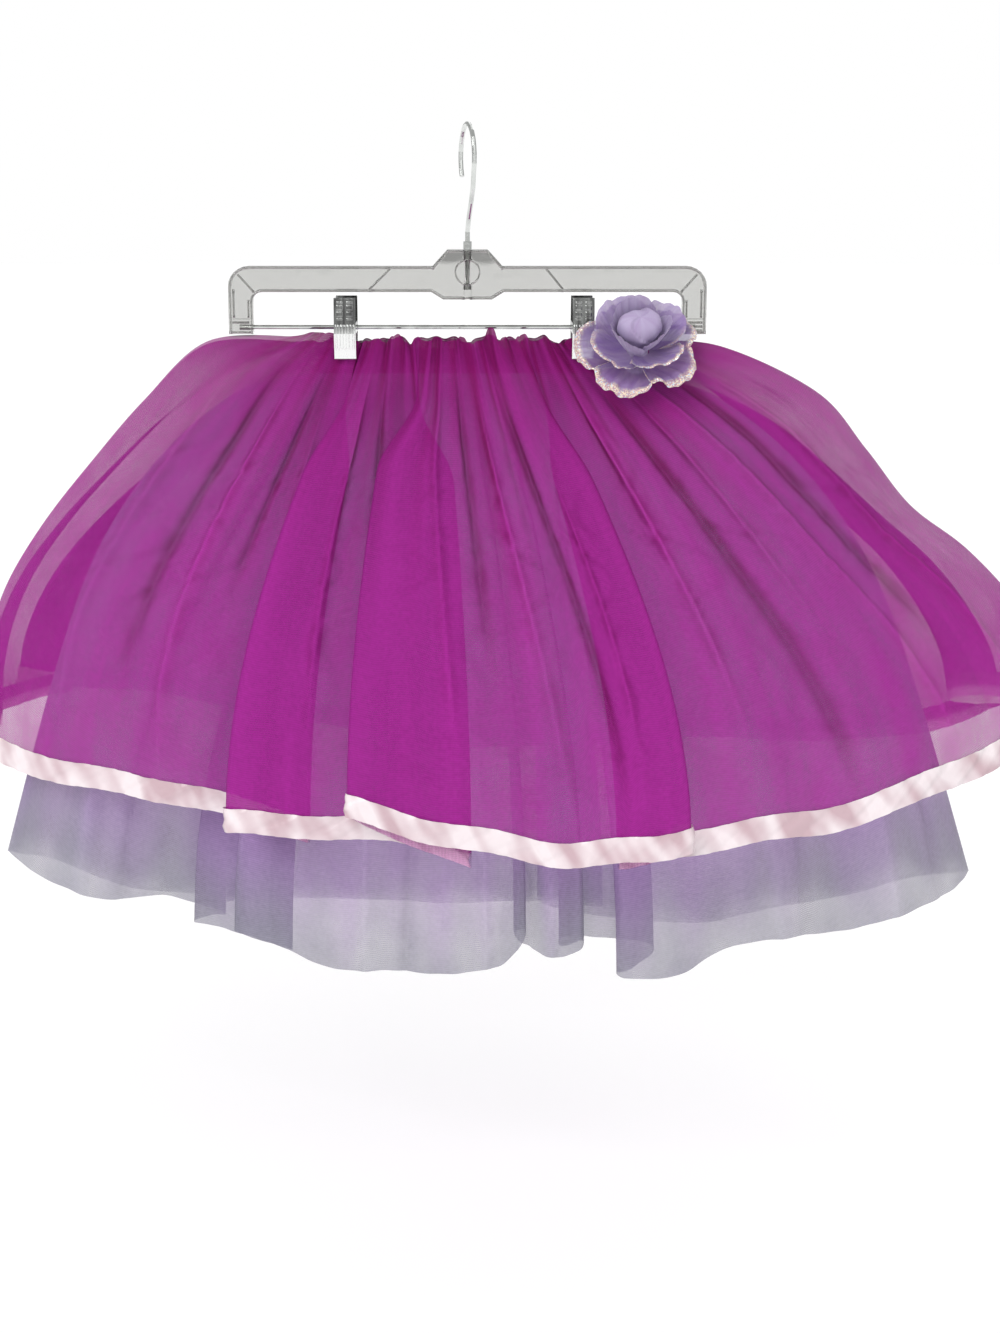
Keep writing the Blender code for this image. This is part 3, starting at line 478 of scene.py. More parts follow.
def drape_points(drape, t, v, settings):
    """The panel as it hangs, with its gathers, header, creases and a hem that waves a few millimetres.

    Also the depth of each gather's trough, how far each place is turned away by creases (1 minus the
    cosine between the creased and the plain normal), and the creases' own height.
    """
    points = hang(drape, t, v)
    plain = grid_normals(points, drape.side)
    clear = drape.clear_of_edges(t)[:, None]
    trough = gather(drape, points, t, v, clear, settings) if drape.gathers else 0 * points[:, :, 0]

    creased = crease_height(drape, t, v)
    slant = 0.8 * t[:, None] + 1.1 * sway(2 * v, 1.0)
    ridge = creased + settings.crumple * sway(slant, 2.0) * smooth((v - 0.1) / 0.3)
    inside = smooth(np.minimum(t, len(drape.sections) - 1 - t)[:, None])
    calm = CALM_SHARE * smooth((v - CALM_START) / CALM_GROWTH) * (drape.gathers > 0)
    ridge = ridge * inside * clear * (1 - calm)
    points = points + grid_normals(points, drape.side) * ridge[:, :, None]

    hem_wave = settings.hem_wave * (1 if drape.gathers or drape.side == FRONT else LOOSE_HEM_WAVE)
    points[:, :, 2] += hem_wave * inside * sway(0.22 * t[:, None], 3.0) * v**4
    folded = np.clip(1 - (grid_normals(points, drape.side) * plain).sum(2), 0, 1) * clear
    return points, trough, folded, creased * clear


def grid_normals(points, side):
    """Unit normals of a grid of points: the cross product of its two directions, on its side of the skirt."""
    across = np.gradient(points, axis=0)
    down = np.gradient(points, axis=1)
    normal = np.cross(across, down) * side
    return normal / np.maximum(np.linalg.norm(normal, axis=2, keepdims=True), 1e-12)


def lengths_along(points, axis):
    """Running length of the grid's lines along one axis."""
    steps = np.linalg.norm(np.diff(points, axis=axis), axis=2)
    zero = np.zeros_like(np.take(steps, [0], axis=axis))
    return np.concatenate([zero, np.cumsum(steps, axis=axis)], axis=axis)


def grid_quads(shape, joined=False, flip=False):
    """The corners of the quads of a grid of points; joined closes its last line across to its first."""
    index = np.arange(shape[0] * shape[1]).reshape(shape[:2])
    if joined:
        index = np.vstack([index, index[:1]])
    corners = [index[:-1, :-1], index[1:, :-1], index[1:, 1:], index[:-1, 1:]]
    return np.stack(corners[::-1] if flip else corners, axis=-1).reshape(-1, 4)


def smooth_object(name, points, quads):
    """A smooth mesh of these quads as an object in the scene."""
    mesh = bpy.data.meshes.new(name)
    mesh.from_pydata(points.reshape(-1, 3).tolist(), [], quads.tolist())
    mesh.shade_smooth()
    thing = bpy.data.objects.new(name, mesh)
    bpy.context.scene.collection.objects.link(thing)
    return thing


def sheet_mesh(name, points, uv=None, values=None, joined=False, flip=False):
    """A sheet through a grid of points, with a UV map in metres and named values at its points."""
    quads = grid_quads(points.shape, joined, flip)
    thing = smooth_object(name, points, quads)
    if uv is not None:
        layer = thing.data.uv_layers.new(name="cloth")
        layer.data.foreach_set("uv", uv.reshape(-1, 2)[quads.ravel()].astype(np.float32).ravel())
    for key, value in (values or {}).items():
        attribute = thing.data.attributes.new(key, "FLOAT", "POINT")
        value = np.broadcast_to(value, points.shape[:2])
        attribute.data.foreach_set("value", value.astype(np.float32).ravel())
    return thing


def paint(thing, material):
    """Gives a piece or a solid its one material."""
    thing.data.materials.clear()
    thing.data.materials.append(material)


def dress(thing, material, replaced=()):
    """Gives a piece its material and its body, and hides the solids that it stands for."""
    paint(thing, material)
    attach(thing, BODY)
    if replaced:
        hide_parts(*replaced)


def declare_sheet(points):
    """Works out the sheet's flat width and length, and its area, from the grid's own lines, and keeps none of
    them.
    """
    width = float(lengths_along(points, 0)[-1].max())
    length = float(lengths_along(points, 1)[:, -1].mean())
    one = np.cross(points[1:, :-1] - points[:-1, :-1], points[:-1, 1:] - points[:-1, :-1])
    other = np.cross(points[:-1, 1:] - points[1:, 1:], points[1:, :-1] - points[1:, 1:])
    area = float((np.linalg.norm(one, axis=2) + np.linalg.norm(other, axis=2)).sum() / 2)
    area = round(min(area, 0.999 * width * length), 4)


# Materials


class Recipe:
    """A node material in the making: each call adds a node, with values or other sockets for inputs."""

    def __init__(self, name, **values):
        self.material = bpy.data.materials.new(name)
        self.material.use_nodes = True
        self.tree = self.material.node_tree
        self.shader = self.tree.nodes["Principled BSDF"]
        self.set(**values)

    def plug(self, socket, value):
        """Links another socket to this one, or sets its value."""
        if isinstance(value, bpy.types.NodeSocket):
            self.tree.links.new(value, socket)
        else:
            socket.default_value = value

    def set(self, **values):
        """Sets or links the shader's inputs, by their names in lower case."""
        for key, value in values.items():
            self.plug(self.shader.inputs[key.replace("_", " ").title().replace("Ior", "IOR")], value)

    def node(self, kind, output=0, settings=None, **values):
        """A new node's output, after its settings and its inputs."""
        node = self.tree.nodes.new("ShaderNode" + kind)
        for key, value in (settings or {}).items():
            setattr(node, key, value)
        for key, value in values.items():
            self.plug(node.inputs[key.replace("_", " ")], value)
        return node.outputs[output]

    def math(self, operation, *values, clamp=False):
        """One operation on two or three values; clamp holds it from 0 to 1."""
        node = self.tree.nodes.new("ShaderNodeMath")
        node.operation = operation
        node.use_clamp = clamp
        for socket, value in zip(node.inputs, values):
            self.plug(socket, value)
        return node.outputs[0]

    def object_place(self):
        """Object coordinates, in metres."""
        return self.node("TexCoord", output=3)

    def cloth_place(self):
        """The cloth's own UV map, in metres."""
        return self.node("UVMap", settings={"uv_map": "cloth"})

    def value(self, name):
        """The named value at the piece's points."""
        return self.node("Attribute", output=2, settings={"attribute_name": name})

    def wave(self, place, direction, pitch):
        """Sine of the distance along a direction, in pitches."""
        along = self.tree.nodes.new("ShaderNodeVectorMath")
        along.operation = "DOT_PRODUCT"
        self.plug(along.inputs[0], place)
        self.plug(along.inputs[1], [2 * math.pi * d / pitch for d in direction])
        return self.math("SINE", along.outputs["Value"])

    def noise(self, place, size, detail=2.0, stretch=None):
        """Noise whose blots are about this size, in metres."""
        if stretch:
            place = self.node("Mapping", Vector=place, Scale=stretch)
        return self.node("TexNoise", Vector=place, Scale=1 / size, Detail=detail)

    def mix(self, share, one, other):
        """A colour between one and the other."""
        node = self.tree.nodes.new("ShaderNodeMix")
        node.data_type = "RGBA"
        self.plug(node.inputs[0], share)
        self.plug(node.inputs[6], one)
        self.plug(node.inputs[7], other)
        return node.outputs[2]

    def levels(self, value, low, high, to_low=0.0, to_high=1.0):
        """A value's range from low to high, drawn out from to_low to to_high."""
        node = self.tree.nodes.new("ShaderNodeMapRange")
        for socket, number in zip(node.inputs, (value, low, high, to_low, to_high)):
            self.plug(socket, number)
        return node.outputs[0]

    def between(self, noise, low=0.0, high=1.0):
        """A noise's usual range, from 0.3 to 0.7, drawn out from low to high."""
        return self.levels(noise, 0.3, 0.7, low, high)

    def bump(self, height, distance, strength=1.0):
        """Lets the light see a height that the mesh doesn't have."""
        self.set(normal=self.node("Bump", Height=height, Distance=distance, Strength=strength))


def rgba(colour):
    """The colour with full alpha."""
    return (*colour, 1.0)


# From thread to thread in each cloth's pattern
NET_PITCH = 0.0016
SATIN_PITCH = 0.0011
ORGANZA_PITCH = 0.0008
ELASTIC_PITCH = 0.0018


def net_material(name, thin, dense):
    """Tulle: crossing threads that let light through, deeper in colour where it is gathered, with painted
    shade in the gathers' troughs and on the creases, and painted light from the light value.
    """
    recipe = Recipe(name, roughness=0.6, specular_ior_level=0.08)
    place = recipe.cloth_place()
    threads = (recipe.wave(place, (0.866 * side, 0.5, 0.0), NET_PITCH) for side in (1, -1))
    net = recipe.math("MULTIPLY", *threads)
    cloud = recipe.noise(place, 0.045, 3.0)
    streak = recipe.noise(place, 0.030, 3.0, (1.0, 0.10, 1.0))
    grain = recipe.noise(place, 0.0035, 2.0)
    uneven = recipe.math("ADD", recipe.between(cloud, -0.05, 0.05),
                         recipe.between(streak, -0.07, 0.07))
    cover = recipe.math("ADD", recipe.value("cover"), uneven)
    cover = recipe.math("MULTIPLY_ADD", net, 0.14, cover, clamp=True)
    # The dense colour stands both for net lying many layers deep and for painted shade in troughs and
    # creases, by the depth value
    colour = recipe.mix(recipe.value("depth"), rgba(thin), rgba(dense))
    # Random streaks and grain in tone, then times the painted light of the creases
    shade = recipe.math("ADD", recipe.between(streak, 0.91, 1.07),
                        recipe.between(grain, -0.07, 0.07))
    shade = recipe.math("MULTIPLY", shade, recipe.value("light"))
    recipe.set(base_color=recipe.node("HueSaturation", Color=colour, Value=shade), alpha=cover)
    recipe.bump(recipe.math("ADD", net, grain), 0.0003, 0.5)
    return recipe.material


def satin_material(name, colour, deep, ribbed):
    """Satin ribbon: a glossy face with soft light and dark bars painted into its colour as highlight and
    shade, over a slow undulation in its bump, and a duller ribbed back.
    """
    recipe = Recipe(name, specular_ior_level=0.7, sheen_weight=0.2, sheen_roughness=0.3)
    place = recipe.cloth_place()
    bent = recipe.node("Mapping", Vector=place, Rotation=(0.0, 0.0, 0.5))
    undulation_and_painted_bars = recipe.noise(bent, 0.017, 1.0, (1.0, 0.30, 1.0))
    weft = recipe.wave(place, (1.0, 0.0, 0.0), SATIN_PITCH)
    back = recipe.node("NewGeometry", output=6)
    # Painted highlight and painted shade: light and dark bars of sheen between the ribbon's colour and its
    # shade colour
    face = recipe.mix(recipe.levels(undulation_and_painted_bars, 0.40, 0.66), rgba(colour), rgba(deep))
    ribs = recipe.mix(recipe.levels(weft, -1.0, 1.0), rgba(ribbed), rgba(tuple(0.62 * c for c in ribbed)))
    recipe.set(base_color=recipe.mix(back, face, ribs), roughness=recipe.levels(back, 0.0, 1.0, 0.26, 0.6))
    rib_height = recipe.math("MULTIPLY", weft, recipe.levels(back, 0.0, 1.0, 0.02, 0.12))
    recipe.bump(recipe.math("MULTIPLY_ADD", undulation_and_painted_bars, 2.5, rib_height), 0.0012, 0.8)
    return recipe.material


def organza_material(name, colour, deep):
    """Flower organza: a crisp see-through weave with folds in its bump and painted shade along them in its
    colour, and a rim crusted with glitter.
    """
    recipe = Recipe(name, sheen_weight=0.35, sheen_roughness=0.35, specular_ior_level=0.4)
    place = recipe.object_place()
    cloth = recipe.cloth_place()
    threads = (recipe.wave(cloth, way, ORGANZA_PITCH) for way in ((1.0, 0.0, 0.0), (0.0, 1.0, 0.0)))
    weave = recipe.math("MULTIPLY", *threads)
    fold = recipe.noise(cloth, 0.008, 3.0, (1.0, 0.18, 1.0))
    rim = recipe.value("rim")
    cells = recipe.node("TexVoronoi", output=1, Vector=place, Scale=1300.0)
    spark = recipe.node("SeparateColor", Color=cells)
    glint = recipe.math("GREATER_THAN", spark, 0.62)
    # Painted shade: the colour darkens towards the deep colour along the fold noise
    cloth_colour = recipe.mix(recipe.between(fold), rgba(colour), rgba(deep))
    glitter = recipe.mix(glint, rgba((0.56, 0.36, 0.42)), rgba((0.95, 0.80, 0.62)))
    glitter = recipe.mix(recipe.math("LESS_THAN", spark, 0.16), glitter, rgba((0.62, 0.74, 0.86)))
    recipe.set(base_color=recipe.mix(rim, cloth_colour, glitter),
               metallic=recipe.math("MULTIPLY", rim, recipe.math("MULTIPLY", glint, 0.7)),
               roughness=recipe.levels(rim, 0.0, 1.0, 0.6, 0.28))
    veil = recipe.math("MULTIPLY_ADD", weave, 0.06, recipe.value("cover"))
    recipe.set(alpha=recipe.math("MAXIMUM", veil, rim, clamp=True))
    height = recipe.math("MULTIPLY_ADD", recipe.math("MULTIPLY", spark, rim), 1.4, fold)
    recipe.bump(height, 0.0006, 0.8)
    return recipe.material


def plastic_material(name):
    """Clear moulded plastic, a little uneven, with fine scratches."""
    recipe = Recipe(name, base_color=rgba((0.55, 0.55, 0.535)), transmission_weight=1.0, ior=1.49)
    place = recipe.object_place()
    flow = recipe.noise(place, 0.030, 2.0)
    scratch = recipe.noise(place, 0.002, 2.0, (0.08, 1.0, 1.0))
    recipe.set(roughness=recipe.levels(scratch, 0.3, 0.8, 0.01, 0.06))
    recipe.bump(flow, 0.003, 0.06)
    return recipe.material


def plated(recipe, colour, drawn, roughness):
    """Finishes plated steel: its colour, and drawn lines in its roughness and its face."""
    recipe.set(base_color=colour, roughness=recipe.between(drawn, roughness, roughness + 0.12))
    recipe.bump(drawn, 0.0002, 0.3)
    return recipe.material


def wire_material(name, colour):
    """Plated wire, drawn lengthwise, with faint dullness in its colour."""
    recipe = Recipe(name, metallic=1.0)
    place = recipe.object_place()
    dull = recipe.levels(recipe.noise(place, 0.012, 2.0), 0.35, 0.75)
    worn = recipe.mix(dull, rgba(colour), rgba(tuple(0.72 * c for c in colour)))
    return plated(recipe, worn, recipe.noise(place, 0.004, 3.0, (0.1, 1.0, 1.0)), 0.10)


def plate_material(name, bright, painted_shade, bright_below):
    """Plated sheet, drawn upright: bright up to a height, and above it painted shade for the moulding's
    shadow, with lighter drawn lines.
    """
    recipe = Recipe(name, metallic=1.0)
    place = recipe.object_place()
    drawn = recipe.noise(place, 0.003, 3.0, (1.0, 1.0, 0.1))
    lines = recipe.mix(recipe.levels(drawn, 0.35, 0.65), rgba(painted_shade), rgba((0.36, 0.37, 0.36)))
    height = recipe.node("SeparateXYZ", output=2, Vector=place)
    # Above the rod the plate gets painted shade, for the moulding's shadow
    above = recipe.levels(height, bright_below - 0.004, bright_below + 0.003)
    return plated(recipe, recipe.mix(above, rgba(bright), lines), drawn, 0.16)


def elastic_material(name, light, deep):
    """Covered elastic: ribs round the band, and soft patches in the cover's colour."""
    recipe = Recipe(name, roughness=0.8)
    place = recipe.object_place()
    rib = recipe.wave(place, (1.0, 0.0, 0.0), ELASTIC_PITCH)
    recipe.set(base_color=recipe.mix(recipe.noise(place, 0.01), rgba(deep), rgba(light)))
    recipe.bump(rib, 0.0004, 0.7)
    return recipe.material


# Cloth pieces

# The panels' grids: places to a section across, and rows down
UPPER_GRID = (24, 90)
UNDER_GRID = (18, 70)


def panel_places(drape, per_section, rows):
    """Even places across a panel, and shares down it that lie closer near the waist."""
    sections = len(drape.sections) - 1
    t = np.linspace(0, sections, sections * per_section + 1)
    v = np.linspace(0, 1, rows) ** 1.25
    return t, v


# The gathered part of a panel, in shares of its drop, and the opened outer edges of the upper net: where
# they begin and how far on they are full, in shares of half the waist
BUNCHED_PART = 0.36
OPEN_EDGE = 0.80
OPEN_EDGE_GROWTH = 0.16


def net_cover(drape, t, v, cover, folded, settings):
    """The share of light that the net stops at each point: 1 - (1 - cover)^layers.

    The layers grow towards the gathered waist and on the steep sides of creases. At the outer
    edges the upper net is opened out, and stops less.
    """
    near = smooth((BUNCHED_PART - v) / BUNCHED_PART)
    layers = (1 + settings.bunching * near**2) / np.maximum(1 - folded, 0.35)
    if drape.gathers == 0:
        return 1 - (1 - cover) ** layers
    across = np.abs(through_rows(drape.sections, t)[:, 0, None]) / drape.waist_half_width
    opened = smooth((across - OPEN_EDGE) / OPEN_EDGE_GROWTH) * (1 - 0.6 * near) * smooth((0.97 - v) / 0.3)
    return (1 - (1 - cover) ** layers) * (1 - settings.edge_opening * opened)


def net_panel(node, drape, settings, material, cover, grid):
    """One layer of net, with its cover, its depth of colour (gathered density and painted shade) and its
    painted light at each point.
    """
    t, v = panel_places(drape, *grid)
    points, trough, folded, ridge = drape_points(drape, t, v, settings)
    covered = net_cover(drape, t, v, cover, folded, settings)
    if drape.gathers:
        # Depth of colour: the gathered waist lies many layers deep and partly in painted shade; the gathers'
        # troughs, the creases' steep sides and their hollows get painted shade
        waist = np.exp(-v / 0.15) * (0.75 + 0.25 * sway(0.8 * t[:, None], 1.0))
        deep = waist + 0.8 * trough + 1.6 * folded + np.clip(-160 * ridge, 0, 0.5)
        covered = covered * (1 - 0.75 * smooth((v - RIBBON_PLACE) / RIBBON_OVERLAP))
    else:
        deep = smooth((1.0 - v + 0.04 * sway(0.5 * t[:, None], 2.0)) / 0.20)
        frayed = smooth((v - 0.955 + 0.02 * sway(0.9 * t[:, None], 4.0)) / 0.045)
        covered = covered * (1 - 0.45 * frayed * (drape.side == BACK))
    # Painted light: painted highlight on crease ridges, painted shade in their hollows and where creases turn
    # away
    light = 1 + settings.crease_light * (50 * ridge - 0.7 * folded)
    width = lengths_along(points, 0)[:, -1:] + 0 * v
    length = lengths_along(points, 1)
    uv = np.stack([width, length], axis=2)
    values = {"cover": covered, "depth": np.clip(deep, 0, 1), "light": np.clip(light, 0.68, 1.35)}
    panel = sheet_mesh(f"net_{node}", points, uv, values, flip=drape.side == FRONT)
    panel.visible_shadow = False
    dress(panel, material, [node])
    declare_sheet(points)


def hem_ribbon(node, drape, settings, material, panel_points):
    """The satin ribbon on a hem: the net's lowest points, moved out along their normals and puckered.

    Its nine rows lie between the panel's own rows, at even shares of each line's length. Across it the
    crown is 1 - side^4, and the puckers are uneven waves along it that slant a little.
    """
    length = lengths_along(panel_points, 1)
    v = length / length[:, -1:]
    normals = grid_normals(panel_points, drape.side)
    share = np.linspace(0, 1, 9)
    top = RIBBON_PLACE - RIBBON_OVERLAP
    place = top + (1 - top) * share
    last = v.shape[1] - 1
    below = np.clip((v[:, None, :] < place[None, :, None]).sum(2), 1, last)
    line = np.arange(len(v))[:, None]
    u = ((place - v[line, below - 1]) / (v[line, below] - v[line, below - 1]))[:, :, None]
    points = panel_points[line, below - 1] * (1 - u) + panel_points[line, below] * u
    normal = normals[line, below - 1] * (1 - u) + normals[line, below] * u
    normal = normal / np.linalg.norm(normal, axis=2, keepdims=True)
    along = lengths_along(points, 0)[:, -1:]
    side = 2 * share - 1
    pucker = sway(34 * along + 0.5 * side, 1.0) + 0.4 * sway(95 * along - side, 2.0)
    out = CLOTH + SEAM_GAP + RIBBON_CROWN * (1 - side**4) + settings.ribbon_pucker * pucker
    points = points + normal * out[:, :, None]
    uv = np.stack([along + 0 * share, lengths_along(points, 1)], axis=2)
    ribbon = sheet_mesh(f"satin_{node}", points, uv, flip=drape.side == FRONT)
    dress(ribbon, material, [node])
    declare_sheet(points)


# The flower

FLOWER_CENTRE = Vector((0.1255, -0.0325, -0.1615))
FLOWER_TILT = math.radians(27.0)
FLOWER_SQUASH = 0.80
FLOWER_STEM = 0.0231
FLOWER_RISE = 0.45
FLOWER_LIFT = 0.0083

# petals: count, first_angle, foot_radius, reach, foot_height, rise, curl, overlap, lean
PETAL_RINGS = {
    "outer": (5, 250.0, 0.0088, 0.0475, -0.0110, 0.0110, 0.0080, 1.22, 0.0016),
    "middle": (4, 215.0, 0.0088, 0.0375, -0.0065, 0.0190, 0.0040, 1.22, 0.0016),
    "inner": (3, 100.0, 0.0094, 0.0230, -0.0015, 0.0220, 0.0, 1.15, 0.0016),
}


def flower_place():
    """From the flower's own frame, with +Z out of its heart, to the skirt: it leans up from its sewn foot."""
    tilt = Matrix.Rotation(math.radians(90) - FLOWER_TILT, 4, "X")
    lean = Matrix.Identity(4)
    lean[1][2] = FLOWER_RISE
    lean[1][3] = FLOWER_LIFT
    squash = Matrix.Diagonal((1.0, FLOWER_SQUASH, 1.0, 1.0))
    return Matrix.Translation(FLOWER_CENTRE) @ tilt @ lean @ squash


def petal(ring, index, settings, material):
    """One petal: a cupped leaf with a ruffled rim, beaded on the outer ring.

    a runs across it from -1 to 1 and b out from its foot, 0 to 1. Its length is b, less by |a|^2.5
    towards its sides. It rises as length^1.6, and past 0.72 curls down as a square.
    """
    count, first, foot, reach, foot_height, rise, curl, overlap, lean = PETAL_RINGS[ring]
    a = np.linspace(-1, 1, 81)[:, None]
    b = np.linspace(0, 1, 41)[None, :]
    length = b * (1 - 0.30 * np.abs(a) ** 2.5)
    half_angle = math.pi / count * overlap * (1 - 0.12 * b)
    angle = math.radians(first + 360.0 * index / count) + a * half_angle
    radius = foot + (reach - foot) * length
    rolled = np.clip((length - 0.72) / 0.28, 0, 1)
    height = foot_height + rise * length**1.6 - curl * rolled**2
    seed = 1.3 * index + count
    ruffle = settings.petal_ruffle * {"outer": 1.0, "middle": 0.7, "inner": 0.3}[ring]
    height = height + ruffle * b**2 * sway(1.3 * a + 0.4 * seed, seed)
    radius = radius + 0.3 * ruffle * b**3 * np.sin(5 * a + seed)
    points = np.stack([radius * np.cos(angle), radius * np.sin(angle), height + 0 * a], axis=2)
    normal = grid_normals(points, BACK)
    wrinkle = 0.00035 * sway(5 * a + 0.3 * b, seed) * b + 0.0002 * np.sin(23 * a + 3 * b + seed) * b
    inward = np.minimum(1 - b, (1 - np.abs(a)) * 1.6 + 0 * b)
    edge = np.clip(1 - inward / settings.rim_width, 0, 1) * smooth((b - 0.25) / 0.3)
    bead = 0.0006 * np.sin(math.pi * np.clip(edge, 0, 1)) if ring == "outer" else 0 * edge
    points = points + normal * (lean * a + wrinkle - bead)[:, :, None]
    below = 0.5 - 0.5 * np.sin(angle)
    crusted = {"outer": smooth(3.0 * below), "middle": smooth(2.6 * below - 0.9), "inner": 0.0}[ring]
    rim = smooth(edge * 1.6) * crusted
    uv = np.stack([radius * a * half_angle, radius + 0 * a], axis=2)
    cover = {"outer": 0.72, "middle": 0.80, "inner": 0.93}[ring] + 0 * b
    place = np.array(flower_place())
    points = points @ place[:3, :3].T + place[:3, 3]
    leaf = sheet_mesh(f"organza_{ring}_{index + 1}", points, uv, {"rim": rim, "cover": cover}, flip=True)
    node = f"petal_{ring}_{index + 1}"
    dress(leaf, material, [node])
    declare_sheet(points)


# The bud's outline, from its sewn foot to its tip
# radius, height
BUD_PROFILE = (
    (0.0078, -FLOWER_STEM), (0.0078, -0.002), (0.0110, 0.007), (0.0132, 0.013),
    (0.0112, 0.0190), (0.0056, 0.0216), (0.0001, 0.0220),
)


def rolled_bud(material):
    """The bud: circles along its outline, with two edges of organza that wind up round it.

    wrap runs from 0 to 1 between the edges. The radius grows with its cube, and the height with wrap.
    """
    around = np.linspace(0, 1, 128, endpoint=False)[:, None] * 2 * math.pi
    up = np.linspace(0, 1, 40)[None, :]
    ring = through_rows(BUD_PROFILE, up.ravel() * (len(BUD_PROFILE) - 1))
    wrap = np.mod(around / math.pi + 0.9 * up, 1.0)
    wound = 0.16 * (wrap**3 - 0.25) * smooth((up - 0.15) / 0.25)
    radius = ring[None, :, 0] * (1 + wound + 0.015 * np.sin(9 * around + 5 * up))
    height = ring[None, :, 1] + 0.0014 * (wrap - 0.5) * smooth((up - 0.4) / 0.3) * (up < 0.97)
    wide = 1 + 0.28 * smooth(up / 0.5)
    points = np.stack([wide * radius * np.cos(around), radius * np.sin(around), height], axis=2)
    uv = np.stack([0.0095 * around + 0 * up, ring[None, :, 1] + 0 * around], axis=2)
    bud = sheet_mesh("organza_bud", points, uv, {"rim": 0.0, "cover": 1.0}, joined=True)
    bud.data.transform(flower_place())
    dress(bud, material, ["flower_bud"])


# The hanger and its clips


BAR_SIDES = 8


def bar_along(line, radius):
    """Points of a round bar: circles of one radius carried along a line of points in the hanger's plane."""
    line = np.asarray(line, float)
    ahead = np.gradient(line, axis=0)
    ahead /= np.linalg.norm(ahead, axis=1, keepdims=True)
    out = np.array([0.0, -1.0, 0.0])
    beside = np.cross(ahead, out)
    angles = np.linspace(0, 2 * math.pi, BAR_SIDES, endpoint=False)[:, None, None]
    ring = np.cos(angles) * beside[None] + np.sin(angles) * out
    return line[None] + radius * ring


def joined_bars(name, bars, material):
    """Several bars as one piece, each closed by drawing its end rings in to a point."""
    verts, quads, start = [], [], 0
    for points in bars:
        first, last = (np.broadcast_to(ring.mean(0), ring.shape) for ring in (points[:, :1], points[:, -1:]))
        closed = np.concatenate([first, points, last], axis=1)
        verts.append(closed.reshape(-1, 3))
        quads.append(grid_quads(closed.shape, joined=True) + start)
        start += len(verts[-1])
    dress(smooth_object(name, np.vstack(verts), np.vstack(quads)), material)


HANGER_HALF_DEPTH = 0.0045
POCKET_FLOOR = 0.0015
SWIVEL_Z = -0.1055
SWIVEL_RADIUS = 0.009
SWIVEL_STAND = 0.0008

# The moulding's outline on its right half, from the boss's foot round the leg to the boss's top
# x, z
HANGER_OUTLINE = (
    (0.0180, -0.1255), (0.0270, -0.1200), (0.1530, -0.1200), (0.1580, -0.1221), (0.1600, -0.1270),
    (0.1600, -0.1510), (0.1780, -0.1510), (0.1780, -0.1160), (0.1770, -0.1105), (0.1736, -0.1054),
    (0.1690, -0.1022), (0.1630, -0.1010), (0.0260, -0.1010), (0.0150, -0.0890),
)

# Ribs of the moulding's pockets, in its plane: those on one half only, and those on both
# start_x, start_z, end_x, end_z
SINGLE_RIBS = (
    (-0.0730, -0.1180, -0.0575, -0.1030),
    (0.0585, -0.1030, 0.0710, -0.1180),
    (0.1630, -0.1455, 0.1755, -0.1455),
    (0.1630, -0.1485, 0.1755, -0.1485),
)
PAIRED_RIBS = (
    (0.1710, -0.1070, 0.1590, -0.1205),
    (0.1745, -0.1180, 0.1745, -0.1390),
    (0.1635, -0.1260, 0.1635, -0.1390),
    (0.0262, -0.1035, 0.0165, -0.0925),
    (0.1630, -0.1425, 0.1755, -0.1425),
)


def hanger_ribs(settings, material):
    """Ribs on both faces: a bead round the rim, straight ones in the pockets, a ring round the swivel."""
    bars = []
    share = np.linspace(0, 1, 8)[:, None]
    half = np.array(HANGER_OUTLINE)
    rim = np.vstack([half, half[::-1] * (-1, 1), half[:1]])
    steps = np.concatenate([[0], np.cumsum(np.linalg.norm(np.diff(rim, axis=0), axis=1))])
    along = np.linspace(0, steps[-1], 700)
    middle = np.stack([np.interp(along, steps, rim[:, 0]), np.interp(along, steps, rim[:, 1])], axis=1)
    ahead = np.gradient(middle, axis=0)
    ahead /= np.linalg.norm(ahead, axis=1, keepdims=True)
    middle = middle + settings.rim_width * np.stack([-ahead[:, 1], ahead[:, 0]], axis=1)
    turn = np.linspace(0, 2 * math.pi, 49)
    ribs = [*SINGLE_RIBS, *PAIRED_RIBS, *((-x0, z0, -x1, z1) for x0, z0, x1, z1 in PAIRED_RIBS)]
    for side in (FRONT, BACK):
        bead = np.stack([middle[:, 0], 0 * along + side * HANGER_HALF_DEPTH, middle[:, 1]], axis=1)
        bars.append(bar_along(bead, settings.bead_radius))
        ring = np.stack([SWIVEL_RADIUS * np.cos(turn), 0 * turn + side * (HANGER_HALF_DEPTH + SWIVEL_STAND),
                         SWIVEL_Z + SWIVEL_RADIUS * np.sin(turn)], axis=1)
        bars.append(bar_along(ring, settings.bead_radius))
        for x0, z0, x1, z1 in ribs:
            start = np.array([x0, side * POCKET_FLOOR, z0])
            end = np.array([x1, side * POCKET_FLOOR, z1])
            bars.append(bar_along(start + (end - start) * share, settings.rib_radius))
    joined_bars("moulding_ribs", bars, material)


ROD_Z = -0.146
CLIP_X = {"left": -0.091, "right": 0.086}
CLIP_WIDTH = 0.016

# A jaw's inner face from the side, as in the solids
# out, z
JAW_PROFILE = ((0.0120, -0.1235), (0.0144, -0.1500), (0.0108, -0.1670), (0.0108, -0.1686))
JAW_SHEET = 0.0012

# The embossed face: how far it stands off the jaw and past its sides, and turns in at its edge, and the
# heights of its short bars and its flutes
FACE_STAND = 0.00012
FACE_LAP = 0.0001
FACE_EDGE = 0.0004
SHORT_BAR_HEIGHT = 0.00045
FLUTE_HEIGHT = 0.0006


